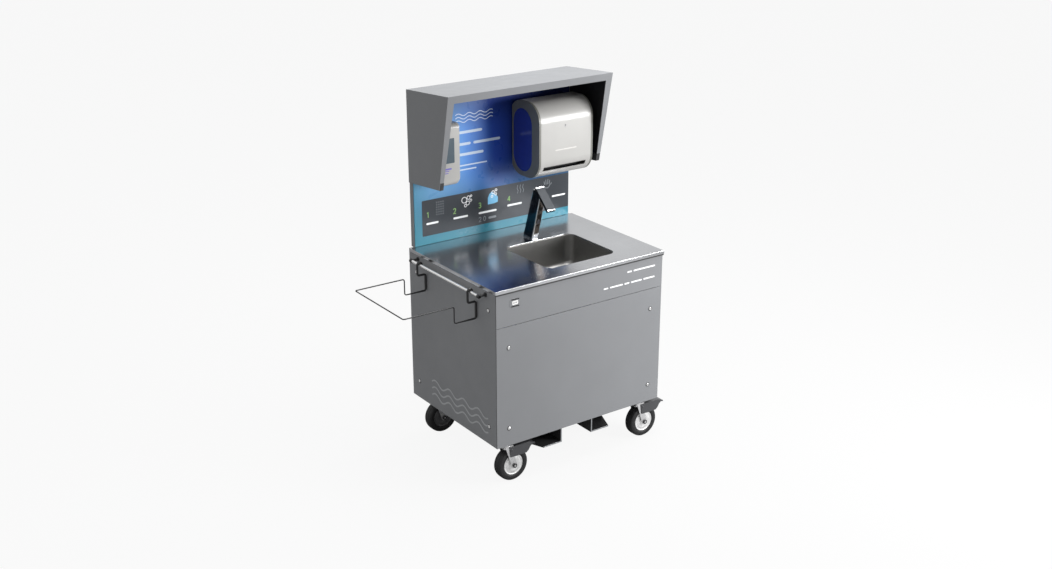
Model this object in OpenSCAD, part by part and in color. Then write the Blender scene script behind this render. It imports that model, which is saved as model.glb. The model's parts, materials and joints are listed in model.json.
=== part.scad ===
// Mobile hand-wash sink station: a sheet-metal cabinet on swivel casters with a stainless
// worktop and basin, a backboard with a hood over the towel and soap dispensers, and a
// wire rack that hangs on a side rail.
// The front faces -Y and +X is to the right of a person who stands at the basin.

/* [Cabinet] */
// Outside width of the cabinet
cab_w = 864; // [850:1:880]
// Outside depth of the cabinet
cab_d = 668; // [660:1:680]
// Height of the cabinet's bottom edge above the floor
base_z = 190; // [188:1:195]
// Height of the worktop above the floor
top_z = 884; // [875:1:900]
// Thickness of the sheet metal
sheet = 2; // [1.5:0.5:2.5]
// Height of the seam between the front panel and the apron
seam_z = 723; // [710:1:735]
// Side of the square frame tubes
tube = 30; // [25:1:32]

/* [Worktop and basin] */
// How far the worktop stands out past the sides
top_over_x = 5; // [4:1:8]
// How far the worktop stands out past the front
top_over_y = 4; // [4:1:8]
// Height of the worktop's turned-down edge
top_lip = 14; // [12:1:18]
// Width of the basin
basin_w = 360; // [340:1:370]
// Depth of the basin from front to back
basin_d = 330; // [310:1:335]
// Height of the basin's inside
basin_h = 150; // [130:1:160]
// Centre of the basin across the cabinet
basin_x = 75; // [60:1:80]
// Centre of the basin from front to back
basin_y = -75; // [-80:1:-70]

/* [Faucet] */
// Centre of the faucet across the cabinet
faucet_x = 76; // [66:1:86]
// Width of the faucet's leaning leg
faucet_leg_w = 32; // [28:1:36]
// Width of the faucet's spout plate
spout_w = 43; // [38:1:48]

/* [Backboard and hood] */
// Width of the backboard
board_w = 832; // [820:1:832]
// Height of the back of the roof
roof_back_z = 1571; // [1565:1:1580]
// Height of the front of the roof
roof_front_z = 1597; // [1590:1:1605]
// Front edge of the roof
roof_front_y = 14; // [10:1:20]
// Width of the flange round the hood's front opening
hood_flange = 32; // [26:1:38]

/* [Dispensers] */
// Left side of the towel dispenser
towel_x = 87; // [85:1:89]
// Width of the towel dispenser
towel_w = 290; // [286:1:291]
// Centre of the soap dispenser across the cabinet
soap_x = -297; // [-300:1:-290]
// Width of the soap dispenser
soap_w = 116; // [110:1:120]

/* [Rail and rack] */
// Radius of the side rail
rail_r = 6; // [5:0.5:6]
// Height of the side rail
rail_z = 850; // [845:1:855]
// Length of the side rail
rail_len = 540; // [500:1:545]
// Radius of the rack's wire
wire_r = 3; // [2.5:0.5:3]
// How far the rack reaches out from the rail
rack_out = 310; // [290:1:320]
// Distance between the rack's two side frames
rack_w = 390; // [380:1:400]

/* [Casters] */
// Distance of each caster's stem from the middle, across the cabinet
caster_x = 356; // [354:1:358]
// Distance of each caster's stem from the middle, front to back
caster_y = 278; // [270:1:280]
// Radius of the caster wheels
wheel_r = 73; // [68:0.5:74]
// Width of the caster tyres
tyre_w = 47; // [42:1:48]
// How far the wheel trails behind its stem
trail = 29; // [26:1:30]
// How far the brake pedal reaches from the stem
pedal_reach = 131; // [120:1:134]

/* [Hidden] */
$fn = 48;

// Half sizes and faces of the cabinet
half_w = cab_w / 2;
half_d = cab_d / 2;
in_x = half_w - sheet;
in_y = half_d - sheet;
skin_z = top_z - sheet;
// Running clearance between a pin and its bore
fit = 0.05;

// Panels and screws
panel_gap = 2;
screw_r = 7;
screw_head = 3;
screw_taper = 1.5;
socket_r = 3;
socket_z = 1.2;
front_screw_x = 372;
front_screw_z = [270, 630];
side_screw_y = 277;
side_screw_z = [271, 787];
rail_post_x = in_x - tube;
rail_post_y = in_y - tube;
rear_rail_z = 840;
pan_t = 3;
status_at = [-340, 819];
bezel = [52, 34];
bezel_t = 0.8;
lens = [28.6, 16.2];
lens_t = 0.5;

// Rear service door
door_w = 676;
door_h = 586;
door_z = 232;
door_gap = 2;
door_return = 16;
hinge_r = 5;
hinge_pin_r = 2.5;
hinge_inset = 70;
leaf_h = 28;
leaf_w = 24;
hinge_x = -door_w / 2 - 3;
hinge_y = half_d + hinge_r + 0.5;
latch_x = 300;
latch_z = 525;
latch_out = 12;

// Basin
basin_corner = 40;
basin_wall = 1.2;
basin_flange = 12;
drain_r = 45;
drain_lip = 6.2;
drain_hole_r = 2.6;
trap_r = 42;
trap_h = 30;
tail_r = 19;
tail_bottom = 70;
tail_wall = 3;
hose_r = 16;
hose_z = 620;
floor_z = top_z - basin_h;

// Backboard
board_front_y = 318;
board_back_y = 340;
board_top_z = 1560;
brace_w = 20;
brace_x = 395;
brace_z = 700;
graphic_w = 824;
graphic_t = 3;
graphic_y = board_front_y - 0.5;
face_y = graphic_y - graphic_t;

// Hood
hood_w = 836;
hood_back_y = 342;
hood_side_back_z = 1170;
hood_side_front = [97, 1192];
hood_flange_low = 15;
liner_t = 1;

// Faucet, seen from the side: the leg leans forward and the spout slopes down from its top
faucet_y = 144;
leg_foot = [110, 178];
faucet_tip = [76, 1130];
spout_end = [-14, 1045.5];
spout_t = 12;
shank_r = 11;
shank_len = 60;
shank_nut = 14;
aerator_r = 10;
aerator_h = 8;
aerator_up = 18;
sensor_up = 90;
leg_under = [50.7, 1089.8];
leg_back = [101, 1116];

// Rail and rack
rail_x = -half_w - 33;
rail_mount_y = rail_len / 2 - 10;
hook_r = rail_r + wire_r + 0.5;
rack_wall = -half_w - wire_r - 1 - rail_x;
rack_drop = 121;
rack_shelf = 49;
rack_step = 76;
rack_bend = 8;

// Towel dispenser
towel_d = 220;
towel_z0 = 1145;
towel_z1 = 1480;
towel_round = 85;
towel_wall = 3;
towel_end_t = 10;
towel_cut_y = 298;
towel_hinge = [288, 1178];
towel_pin_r = 3;
window_y = [150, 290];
window_z = [1166, 1446];
roll_c = [205, 1330];
roll_r = 72;
roll_hub_r = 19;
roll_w = 232;
feed_c = [150, 1190];
feed_r = 14;
journal_r = 4;
arm_t = 6;
arm_in = 21;

// Soap dispenser
soap_d = 102;
soap_z0 = 1163;
soap_z1 = 1429;
soap_round = 26;
soap_wall = 2.5;
soap_hinge = [300, 1180];
soap_pin_r = 2.5;
soap_plate_t = 8;
soap_lug = 6;
soap_view = [29, 1262, 1369];
towel_plate_t = 8;

// Tanks
tank_w = 300;
tank_d = 400;
tank_h = 380;
tank_x = 200;
tank_z = base_z + sheet + 1;
tank_wall = 4;
neck_r = 40;
neck_h = 16;
cap_h = 10;
tank_round = 30;
pump_y = 200;
pump_r = 30;
pump_out_z = 72;
battery_size = [88, 140, 100];

// Fork channels
fork_z = 109;
fork_t = 6;
fork_in_x = 79;
fork_mouth_x = 176;
fork_out_x = 212;
fork_y = 307;
fork_flare_y = 218;

// Casters
plate_t = 6;
plate_size = [105, 90];
plate_bolts = [40, 32];
plate_hole_r = 5.5;
stem_nut_r = 11;
boss_r = 27;
stem_r = 6;
head_z = base_z - plate_t;
crown_z = [156, 171];
fork_leg_y = 26;
fork_leg_t = 4;
axle_r = 6;
hub_r = 47;
pedal_pivot = [14, 150];
pedal_pin_r = 3;
pedal_y = 31;
pedal_t = 3;

// The whole object is centred over its origin: from the rack's outer bar to the right pedals,
// and from the worktop's front edge to the door latch's handle
origin_x = (rail_x - rack_out - wire_r + caster_x + pedal_reach + 4) / 2;
origin_y = (latch_out - top_over_y) / 2;
module place() { translate([-origin_x, -origin_y, 0]) children(); }

// ---- Shared shapes ----

// Box from one corner to the opposite one
module block(a, b) { translate(a) cube(b - a); }

// Flat rectangle with round corners, centred
module round_rect(w, h, r) {
    square([w - 2 * r, h], center = true);
    square([w, h - 2 * r], center = true);
    for (x = [-1, 1], y = [-1, 1]) translate([x * (w / 2 - r), y * (h / 2 - r)]) circle(r);
}

// A Y-Z outline pushed along X, from x0 for a length of w
module side_profile(x0, w) {
    translate([x0, 0, 0]) rotate([90, 0, 90]) linear_extrude(w) children();
}

// An X-Z outline pushed along -Y, from y0 for a length of d
module front_profile(y0, d) {
    translate([0, y0, 0]) rotate([90, 0, 0]) linear_extrude(d) children();
}

// Round bar along X or Y
module bar_x(r, x0, x1, y, z) { translate([x0, y, z]) rotate([0, 90, 0]) cylinder(h = x1 - x0, r = r); }
module bar_y(r, y0, y1, x, z) { translate([x, y1, z]) rotate([90, 0, 0]) cylinder(h = y1 - y0, r = r); }

// Swept round bar along a path, with rings that turn as little as they can
function unit(v) = v / norm(v);
function heading(p, i) = unit(p[min(i + 1, len(p) - 1)] - p[max(i - 1, 0)]);
function square_to(n, t) = unit(n - (n * t) * t);
function normals(p, n0) = [for (i = 0, n = square_to(n0, heading(p, 0)); i < len(p);
    i = i + 1, n = i < len(p) ? square_to(n, heading(p, i)) : n) n];
module swept(p, r, n0 = [0, 0, 1], sides = 12) {
    ns = normals(p, n0);
    last = (len(p) - 1) * sides;
    polyhedron(
        [for (i = [0 : len(p) - 1], k = [0 : sides - 1])
            p[i] + r * (cos(k * 360 / sides) * ns[i]
                + sin(k * 360 / sides) * cross(heading(p, i), ns[i]))],
        concat(
            [[for (k = [sides - 1 : -1 : 0]) k]],
            [for (i = [0 : len(p) - 2], k = [0 : sides - 1]) [i * sides + k,
                i * sides + (k + 1) % sides, (i + 1) * sides + (k + 1) % sides,
                (i + 1) * sides + k]],
            [[for (k = [0 : sides - 1]) last + k]]));
}

// Path through right-angled corners with each corner rounded to a radius
function rounded(p, r, steps = 5) = [for (i = [0 : len(p) - 1])
    let (ends = i == 0 || i == len(p) - 1,
         u = ends ? [0, 0, 0] : unit(p[i] - p[i - 1]),
         v = ends ? [0, 0, 0] : unit(p[i + 1] - p[i]))
    for (t = [0 : ends ? 0 : steps])
        let (a = ends ? 0 : 90 * t / steps)
        ends ? p[i] : p[i] - r * u + r * v + r * (u * sin(a) - v * cos(a))];

// Button-head screw with a hex socket; it stands on z = 0
module screw_head() {
    difference() {
        cylinder(h = screw_head, r1 = screw_r, r2 = screw_r - screw_taper);
        translate([0, 0, socket_z]) cylinder(h = screw_head, r = socket_r, $fn = 6);
    }
}

// ---- Frame and panels ----

module frame_posts() {
    color("dimgray") place() for (x = [-in_x, rail_post_x], y = [-in_y, rail_post_y])
        block([x, y, base_z + pan_t], [x + tube, y + tube, skin_z - 2]);
}

module frame_rails() {
    front_z = [for (z = front_screw_z) z - tube / 2];
    side_z = [for (z = side_screw_z) z - tube / 2];
    color("dimgray") place() {
        for (z = concat(front_z, [skin_z - 2 - tube]))
            block([-rail_post_x, -in_y, z], [rail_post_x, -rail_post_y, z + tube]);
        for (z = side_z, x = [-in_x, rail_post_x])
            block([x, -rail_post_y, z], [x + tube, rail_post_y, z + tube]);
        block([-rail_post_x, rail_post_y, rear_rail_z], [rail_post_x, in_y, rear_rail_z + tube]);
        block([-rail_post_x, board_front_y + 1.5, rear_rail_z + tube], [rail_post_x, in_y, top_z]);
        block([-rail_post_x, rail_post_y, base_z + pan_t], [rail_post_x, in_y, base_z + pan_t + tube]);
    }
}

module base_pan() {
    color("dimgray") place() block([-in_x, -in_y, base_z], [in_x, in_y, base_z + pan_t]);
}

// Floor of the right fork channel, wider towards the middle than at its two mouths
module fork_floor() {
    polygon([[fork_in_x, -fork_y], [fork_mouth_x, -fork_y], [fork_out_x, -fork_flare_y],
             [fork_out_x, fork_flare_y], [fork_mouth_x, fork_y], [fork_in_x, fork_y]]);
}

module fork_channels() {
    color("black") place() for (side = [0, 1]) mirror([side, 0, 0]) {
        translate([0, 0, fork_z]) linear_extrude(fork_t) fork_floor();
        block([fork_in_x, -fork_y, fork_z], [fork_in_x + fork_t, fork_y, base_z]);
        block([fork_out_x - fork_t, -fork_flare_y, fork_z], [fork_out_x, fork_flare_y, base_z]);
    }
}

module side_panel_left() {
    color("slategray") place() block([-half_w, -in_y, base_z], [-in_x, half_d, skin_z - 2]);
}

module side_panel_right() {
    color("slategray") place() block([in_x, -in_y, base_z], [half_w, half_d, skin_z - 2]);
}

module front_panel() {
    color("slategray") place()
        block([-half_w, -half_d, base_z], [half_w, -in_y, seam_z - panel_gap / 2]);
}

module front_apron() {
    color("slategray") place()
        block([-half_w, -half_d, seam_z + panel_gap / 2], [half_w, -in_y, skin_z - 2]);
}

module rear_surround() {
    hole = door_w / 2 + door_gap;
    color("slategray") place() {
        difference() {
            block([-in_x, in_y, base_z], [in_x, half_d, skin_z - 2]);
            block([-hole, in_y - 1, door_z - door_gap], [hole, half_d + 1, door_z + door_h + door_gap]);
        }
        for (z = hinge_zs()) {
            block([-hole - leaf_w, half_d, z], [hinge_x, half_d + sheet, z + leaf_h]);
            difference() {
                union() {
                    translate([hinge_x, hinge_y, z]) cylinder(h = leaf_h, r = hinge_r);
                    block([hinge_x - hinge_r, half_d, z], [hinge_x, hinge_y, z + leaf_h]);
                }
                translate([hinge_x, hinge_y, z - 1]) cylinder(h = leaf_h + 2, r = hinge_pin_r);
            }
            translate([hinge_x, hinge_y, z]) cylinder(h = 2 * leaf_h + 2, r = hinge_pin_r);
        }
    }
}

// Heights of the bottom of the two door hinges
function hinge_zs() = [door_z + hinge_inset, door_z + door_h - hinge_inset - 2 * (leaf_h + 2)];

module panel_screws() {
    color("gainsboro") place() {
        for (x = [-1, 1], z = front_screw_z)
            translate([x * front_screw_x, -half_d, z]) rotate([90, 0, 0]) screw_head();
        for (y = [-1, 1], z = side_screw_z) {
            translate([half_w, y * side_screw_y, z]) rotate([0, 90, 0]) screw_head();
            translate([-half_w, y * side_screw_y, z]) rotate([0, -90, 0]) screw_head();
        }
    }
}

module status_bezel() {
    color("slategray") place() difference() {
        front_profile(-half_d, bezel_t) translate(status_at) round_rect(bezel[0], bezel[1], 7);
        front_profile(-half_d + 1, 4) translate(status_at) round_rect(lens[0] + 0.4, lens[1] + 0.4, 4);
    }
}

module status_window() {
    color("white") place()
        front_profile(-half_d, lens_t) translate(status_at) round_rect(lens[0], lens[1], 3.8);
}

// ---- Worktop, basin and drain ----

module worktop() {
    x = half_w + top_over_x;
    y = -half_d - top_over_y;
    color("lightsteelblue") place() difference() {
        block([-x, y, top_z - top_lip], [x, board_front_y + 1, top_z]);
        block([-x + sheet, y + sheet, top_z - top_lip - 1], [x - sheet, board_front_y + 2, skin_z]);
        translate([basin_x, basin_y, skin_z - 1]) linear_extrude(sheet + 2)
            round_rect(basin_w, basin_d, basin_corner);
        translate([faucet_x, faucet_y, skin_z - 1]) cylinder(h = sheet + 2, r = shank_r + 2);
    }
}

// Bowl outline grown outwards by g
module bowl(g) { round_rect(basin_w + 2 * g, basin_d + 2 * g, basin_corner + g); }

module sink_basin() {
    color("silver") place() translate([basin_x, basin_y, 0]) difference() {
        union() {
            translate([0, 0, floor_z - basin_wall]) linear_extrude(skin_z - floor_z) bowl(basin_wall);
            translate([0, 0, skin_z - basin_wall]) linear_extrude(basin_wall) bowl(basin_flange);
        }
        translate([0, 0, floor_z]) linear_extrude(basin_h) bowl(0);
        translate([0, 0, floor_z - 10]) cylinder(h = 20, r = drain_r - 6);
    }
}

module drain_strainer() {
    color("silver") place() translate([basin_x, basin_y, floor_z]) {
        difference() {
            translate([0, 0, -basin_wall]) cylinder(h = 2 * basin_wall, r = drain_r - drain_lip);
            for (ring = [1, 2], k = [0 : 6 * ring - 1])
                rotate(k * 60 / ring) translate([12 * ring, 0, -5]) cylinder(h = 10, r = drain_hole_r);
        }
        difference() {
            cylinder(h = basin_wall, r = drain_r);
            translate([0, 0, -1]) cylinder(h = 4, r = drain_r - drain_lip);
        }
        cylinder(h = 7, r = 5);
    }
}

module drain_tailpiece() {
    color("dimgray") place() translate([basin_x, basin_y, 0]) difference() {
        union() {
            translate([0, 0, floor_z - trap_h]) cylinder(h = trap_h - basin_wall, r = trap_r);
            translate([0, 0, floor_z - tail_bottom]) cylinder(h = tail_bottom - trap_h + 1, r = tail_r);
        }
        translate([0, 0, floor_z - trap_h + 2]) cylinder(h = trap_h, r = trap_r - tail_wall);
        translate([0, 0, floor_z - tail_bottom - 1]) cylinder(h = tail_bottom - 20, r = tail_r - tail_wall);
    }
}

// From the basin's tailpiece down to the neck of the waste tank
module drain_hose() {
    route = [[basin_x, basin_y, floor_z - tail_bottom], [basin_x, basin_y, hose_z],
             [-tank_x, basin_y, hose_z], [-tank_x, basin_y, tank_z + tank_h + neck_h + cap_h]];
    color("dimgray") place() swept(rounded(route, 40, 8), hose_r, [1, 0, 0]);
}

// ---- Faucet ----

module faucet_leg() {
    color("silver") place() side_profile(faucet_x - faucet_leg_w / 2, faucet_leg_w)
        polygon([[leg_foot[0], top_z], [leg_foot[1], top_z], leg_back, spout_corners()[3], leg_under]);
}

// Corner points of the spout plate, seen from the side
function spout_corners() = let (along = unit(spout_end - faucet_tip), down = [-along[1], along[0]])
    [faucet_tip, spout_end, spout_end + spout_t * down, faucet_tip + spout_t * down];

module faucet_spout() {
    color("silver") place() side_profile(faucet_x - spout_w / 2, spout_w) polygon(spout_corners());
}

module faucet_shank() {
    color("silver") place() translate([faucet_x, faucet_y, 0]) {
        translate([0, 0, skin_z - shank_len]) cylinder(h = shank_len + sheet, r = shank_r);
        translate([0, 0, skin_z - shank_nut]) cylinder(h = shank_nut, r = shank_r + 6, $fn = 6);
    }
}

// Sensor lens on the leg's front face
module faucet_sensor() {
    along = unit(leg_under - [leg_foot[0], top_z]);
    tilt = atan2(along[1], along[0]);
    color("black") place()
        translate([faucet_x, leg_foot[0] + along[0] * sensor_up, top_z + along[1] * sensor_up])
        rotate([tilt, 0, 0]) linear_extrude(1.4) round_rect(14, 24, 6.9);
}

module faucet_aerator() {
    foot = spout_corners()[2];
    back = unit(faucet_tip - spout_end);
    color("gray") place()
        translate([faucet_x, foot[0] + back[0] * aerator_up, foot[1] + back[1] * aerator_up])
        rotate([atan2(back[1], back[0]), 0, 0]) translate([0, 0, -aerator_h])
            cylinder(h = aerator_h, r = aerator_r);
}

// ---- Backboard and hood ----

module backboard() {
    x = board_w / 2;
    color("slategray") place() {
        difference() {
            block([-x, board_front_y, top_z], [x, board_back_y, board_top_z]);
            block([-x + sheet, board_front_y + sheet, top_z + sheet],
                  [x - sheet, board_back_y - sheet, board_top_z - sheet]);
        }
        for (side = [-1, 1]) translate([side * brace_x, 0, 0])
            block([-brace_w / 2, half_d, brace_z], [brace_w / 2, board_back_y, top_z]);
    }
}

module graphic_board() {
    color("steelblue") place()
        block([-graphic_w / 2, face_y, top_z + 1], [graphic_w / 2, graphic_y + 0.5, 1540]);
}

// Side outline of the hood, pulled in by t along its roof, front and back
module hood_outline(t) {
    polygon([[hood_back_y - t, roof_back_z - t], [roof_front_y + t, roof_front_z - t],
             [hood_side_front[0] + t, hood_side_front[1]], [hood_back_y - t, hood_side_back_z]]);
}

module hood_shell() {
    inner = hood_w / 2 - sheet;
    color("slategray") place() difference() {
        side_profile(-hood_w / 2, hood_w) hood_outline(0);
        side_profile(-inner, 2 * inner) union() {
            hood_outline(sheet);
            polygon([[hood_side_front[0] + sheet, hood_side_front[1] + 1],
                     [hood_side_front[0] + sheet, hood_side_back_z - 40],
                     [hood_back_y - sheet, hood_side_back_z - 40],
                     [hood_back_y - sheet, hood_side_back_z + 1]]);
        }
        front_profile(200, 240) polygon([for (side = [-1, 1], low = [side < 0, side > 0])
            [side * (hood_w / 2 - (low ? hood_flange_low : hood_flange)),
             low ? hood_side_back_z - 50 : roof_front_z - hood_flange]]);
    }
}

// Dark lining inside the two sides and the roof
module hood_liner() {
    outer = hood_w / 2 - sheet;
    back = board_front_y - 4;
    front = hood_side_front[0] + sheet + 1;
    color("black") place() for (side = [-1, 1])
        side_profile(side > 0 ? outer - liner_t : -outer, liner_t)
            polygon([[back, roof_back_z - 4], [roof_front_y + 8, roof_front_z - 5],
                     [front + 2, hood_side_front[1] + 2], [back, hood_side_back_z + 4]]);
}

// ---- Rail and rack ----

module side_rail() {
    color("gainsboro") place() bar_y(rail_r, -rail_len / 2, rail_len / 2, rail_x, rail_z);
}

module rail_mounts() {
    color("dimgray") place() for (side = [-1, 1]) translate([0, side * rail_mount_y, rail_z]) {
        difference() {
            union() {
                translate([rail_x, 6, 0]) rotate([90, 0, 0]) cylinder(h = 12, r = rail_r + 3);
                bar_x(5, rail_x + rail_r, -half_w, 0, 0);
                bar_x(10, -half_w - 3, -half_w, 0, 0);
            }
            translate([rail_x, 8, 0]) rotate([90, 0, 0]) cylinder(h = 16, r = rail_r);
        }
    }
}

// One side frame of the rack, from its hook to the shelf's outer corner, at a given y
function rack_side(y) = concat(
    [for (a = [0 : 30 : 180]) [hook_r * cos(a), y, hook_r * sin(a)]],
    rounded([[-hook_r, y, 0], [-hook_r, y, -47], [rack_wall, y, -47], [rack_wall, y, -rack_drop],
             [-rack_step, y, -rack_drop], [-rack_step, y, -rack_shelf], [-rack_out, y, -rack_shelf],
             [-rack_out, 0, -rack_shelf]], rack_bend));
// Leaves out the point that the hook and the frame share, and the last one
function joined(p) = [for (i = [0 : len(p) - 2]) if (i == 0 || norm(p[i] - p[i - 1]) > 0.01) p[i]];
function backwards(p) = [for (i = [len(p) - 1 : -1 : 0]) p[i]];

module wire_rack() {
    front = joined(rack_side(-rack_w / 2));
    back = joined(rack_side(rack_w / 2));
    color("black") place()
        translate([rail_x, 0, rail_z]) swept(concat(back, backwards(front)), wire_r, [0, 1, 0]);
}

// ---- Towel dispenser ----

// Side outline of the dispenser, pulled in by t
module towel_outline(t) {
    translate([face_y - towel_d / 2, (towel_z0 + towel_z1) / 2])
        round_rect(towel_d - 2 * t, towel_z1 - towel_z0 - 2 * t, towel_round - t);
}

// Window in the dispenser's ends, with round ends, grown by g
module window_outline(g) {
    w = window_y[1] - window_y[0];
    h = window_z[1] - window_z[0];
    translate([(window_y[0] + window_y[1]) / 2, (window_z[0] + window_z[1]) / 2])
        round_rect(w + 2 * g, h + 2 * g, w / 2 + g - 0.1);
}

module towel_housing() {
    arm_back = face_y - towel_plate_t + 1;
    x0 = towel_x + arm_in;
    x1 = towel_x + towel_w - arm_in - arm_t;
    color("darkgray") place() {
        block([towel_x + 14, face_y - towel_plate_t, 1200], [towel_x + towel_w - 14, face_y, 1436]);
        for (x = [x0, x1]) difference() {
            side_profile(x, arm_t) polygon([[arm_back, 1250], [arm_back, 1380], [200, 1358],
                [180, 1330], [134, 1205], [134, 1176], [162, 1174], [230, 1240]]);
            bar_x(journal_r + fit, x - 1, x + arm_t + 1, feed_c[0], feed_c[1]);
        }
        bar_x(roll_hub_r, x0 + arm_t - 1, x0 + arm_t + 14, roll_c[0], roll_c[1]);
        bar_x(roll_hub_r, x1 - 14, x1 + 1, roll_c[0], roll_c[1]);
        for (x = [towel_x + 16, towel_x + towel_w - 26]) difference() {
            side_profile(x, 10) polygon([[face_y - towel_plate_t, 1200], [face_y - towel_plate_t, 1230],
                [towel_hinge[0] - 6, 1184], [towel_hinge[0] - 6, 1172], [towel_hinge[0] + 6, 1172]]);
            bar_x(towel_pin_r, x - 1, x + 11, towel_hinge[0], towel_hinge[1]);
        }
        for (x = [towel_x + 11, towel_x + towel_w - 31])
            bar_x(towel_pin_r, x, x + 20, towel_hinge[0], towel_hinge[1]);
    }
}

module towel_cover() {
    x0 = towel_x + towel_end_t;
    color("whitesmoke") place() difference() {
        side_profile(x0, towel_w - 2 * towel_end_t) difference() {
            towel_outline(0);
            towel_outline(towel_wall);
            translate([towel_cut_y, 1000]) square([100, 600]);
        }
        block([towel_x + 28, 60, 1184], [towel_x + towel_w - 34, 130, 1203]);
        block([towel_x + 12, face_y - 60, 1130], [towel_x + 30, face_y, 1210]);
        block([towel_x + towel_w - 30, face_y - 60, 1130], [towel_x + towel_w - 12, face_y, 1210]);
    }
}

module towel_end_frames() {
    color("darkolivegreen") place() for (x = [towel_x, towel_x + towel_w - towel_end_t]) difference() {
        side_profile(x, towel_end_t) difference() {
            towel_outline(0);
            window_outline(0);
            translate([towel_cut_y, 1000]) square([100, 600]);
        }
        bar_x(towel_pin_r + fit, x - 1, x + towel_end_t + 1, towel_hinge[0], towel_hinge[1]);
    }
}

module towel_windows() {
    color("mediumblue") place() for (x = [towel_x + 2, towel_x + towel_w - 5])
        side_profile(x, 3) window_outline(0);
}

module paper_roll() {
    x0 = towel_x + (towel_w - roll_w) / 2 + 1;
    color("ivory") place() difference() {
        bar_x(roll_r, x0, x0 + roll_w - 2, roll_c[0], roll_c[1]);
        bar_x(roll_hub_r + fit, x0 - 1, x0 + roll_w, roll_c[0], roll_c[1]);
    }
}

module feed_roller() {
    x0 = towel_x + arm_in;
    x1 = towel_x + towel_w - arm_in;
    color("dimgray") place() {
        bar_x(feed_r, x0 + arm_t + 1, x1 - arm_t - 1, feed_c[0], feed_c[1]);
        bar_x(journal_r, x0 - 2, x1 + 2, feed_c[0], feed_c[1]);
    }
}

// ---- Soap dispenser ----

// Side outline of the soap dispenser, flat at the back, pulled in by t
module soap_outline(t) {
    front = face_y - soap_d;
    mid = face_y - 20;
    translate([(front + mid) / 2, (soap_z0 + soap_z1) / 2])
        round_rect(mid - front - 2 * t, soap_z1 - soap_z0 - 2 * t, soap_round - t);
    translate([mid - soap_round - 10, soap_z0 + t]) square([soap_round + 18, soap_z1 - soap_z0 - 2 * t]);
}

module soap_housing() {
    color("darkgray") place() {
        block([soap_x - soap_w / 2 + 6, face_y - soap_plate_t, 1190],
              [soap_x + soap_w / 2 - 6, face_y, 1422]);
        block([soap_x - 30, 232, 1182], [soap_x + 30, face_y - soap_plate_t, 1190]);
        for (side = [-1, 1]) translate([soap_x + side * (soap_w / 2 - 10) - 3, 0, 0]) difference() {
            block([0, soap_hinge[0] - 5, 1172], [soap_lug, face_y - soap_plate_t, 1195]);
            bar_x(soap_pin_r, -1, soap_lug + 1, soap_hinge[0], soap_hinge[1]);
        }
        bar_x(soap_pin_r, soap_x - soap_w / 2 + 1, soap_x - soap_w / 2 + 14, soap_hinge[0], soap_hinge[1]);
        bar_x(soap_pin_r, soap_x + soap_w / 2 - 14, soap_x + soap_w / 2 - 1, soap_hinge[0], soap_hinge[1]);
    }
}

module soap_cover() {
    x0 = soap_x - soap_w / 2;
    color("whitesmoke") place() difference() {
        side_profile(x0, soap_w) soap_outline(0);
        side_profile(x0 + 4, soap_w - 8) soap_outline(soap_wall);
        block([x0 + 4, 280, 1150], [x0 + soap_w - 4, 320, 1440]);
        block([x0 - 1, face_y - 12, 1150], [x0 + soap_w + 1, 330, 1440]);
        block([soap_x - soap_view[0], 200, soap_view[1]], [soap_x + soap_view[0], 240, soap_view[2]]);
        block([soap_x - 16, 225, 1150], [soap_x + 16, 262, 1170]);
        bar_x(soap_pin_r + fit, x0 - 1, x0 + soap_w + 1, soap_hinge[0], soap_hinge[1]);
    }
}

module soap_window() {
    color("dimgray") place()
        block([soap_x - soap_view[0], face_y - soap_d + 0.6, soap_view[1]],
              [soap_x + soap_view[0], face_y - soap_d + soap_wall, soap_view[2]]);
}

module soap_refill() {
    color("azure") place() {
        block([soap_x - 36, 224, 1232], [soap_x + 36, face_y - soap_plate_t - 1, 1400]);
        translate([soap_x, 244, 1190]) cylinder(h = 42, r = 15);
        translate([soap_x, 244, 1166]) cylinder(h = 16, r = 7);
    }
}

// ---- Tanks, pump and power ----

module tank(x) {
    translate([x, 0, tank_z]) difference() {
        union() {
            linear_extrude(tank_h) round_rect(tank_w, tank_d, tank_round);
            translate([0, basin_y, tank_h]) cylinder(h = neck_h, r = neck_r);
        }
        translate([0, 0, tank_wall]) linear_extrude(tank_h - 2 * tank_wall)
            round_rect(tank_w - 2 * tank_wall, tank_d - 2 * tank_wall, tank_round - tank_wall);
        translate([0, basin_y, tank_h - 8]) cylinder(h = 40, r = neck_r - tank_wall);
    }
}

module fresh_tank() { color("white") place() tank(tank_x); }

module waste_tank() { color("gray") place() tank(-tank_x); }

module tank_caps() {
    color("royalblue") place() for (x = [-tank_x, tank_x]) translate([x, basin_y, tank_z + tank_h + neck_h]) {
        cylinder(h = cap_h, r = neck_r + 4);
        translate([0, 0, -4]) cylinder(h = 4, r = neck_r - tank_wall - 0.2);
    }
}

module water_pump() {
    color("black") place() translate([0, pump_y, tank_z]) {
        block([-36, -50, 0], [36, 50, 8]);
        bar_y(pump_r, -48, 30, 0, 40);
        block([-32, 30, 8], [32, 70, pump_out_z]);
    }
}

module battery() {
    color("darkslategray") place()
        translate([-battery_size[0] / 2, -220, tank_z]) cube(battery_size);
}

// From the pump up to the faucet's shank
module supply_hose() {
    bend_z = 780;
    out_y = pump_y + 50;
    route = [[0, out_y, tank_z + pump_out_z], [0, out_y, bend_z], [faucet_x, out_y, bend_z],
             [faucet_x, faucet_y, bend_z], [faucet_x, faucet_y, skin_z - shank_len]];
    color("lightgray") place() swept(rounded(route, 18, 5), 6, [0, 1, 0]);
}

// ---- Rear door ----

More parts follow.
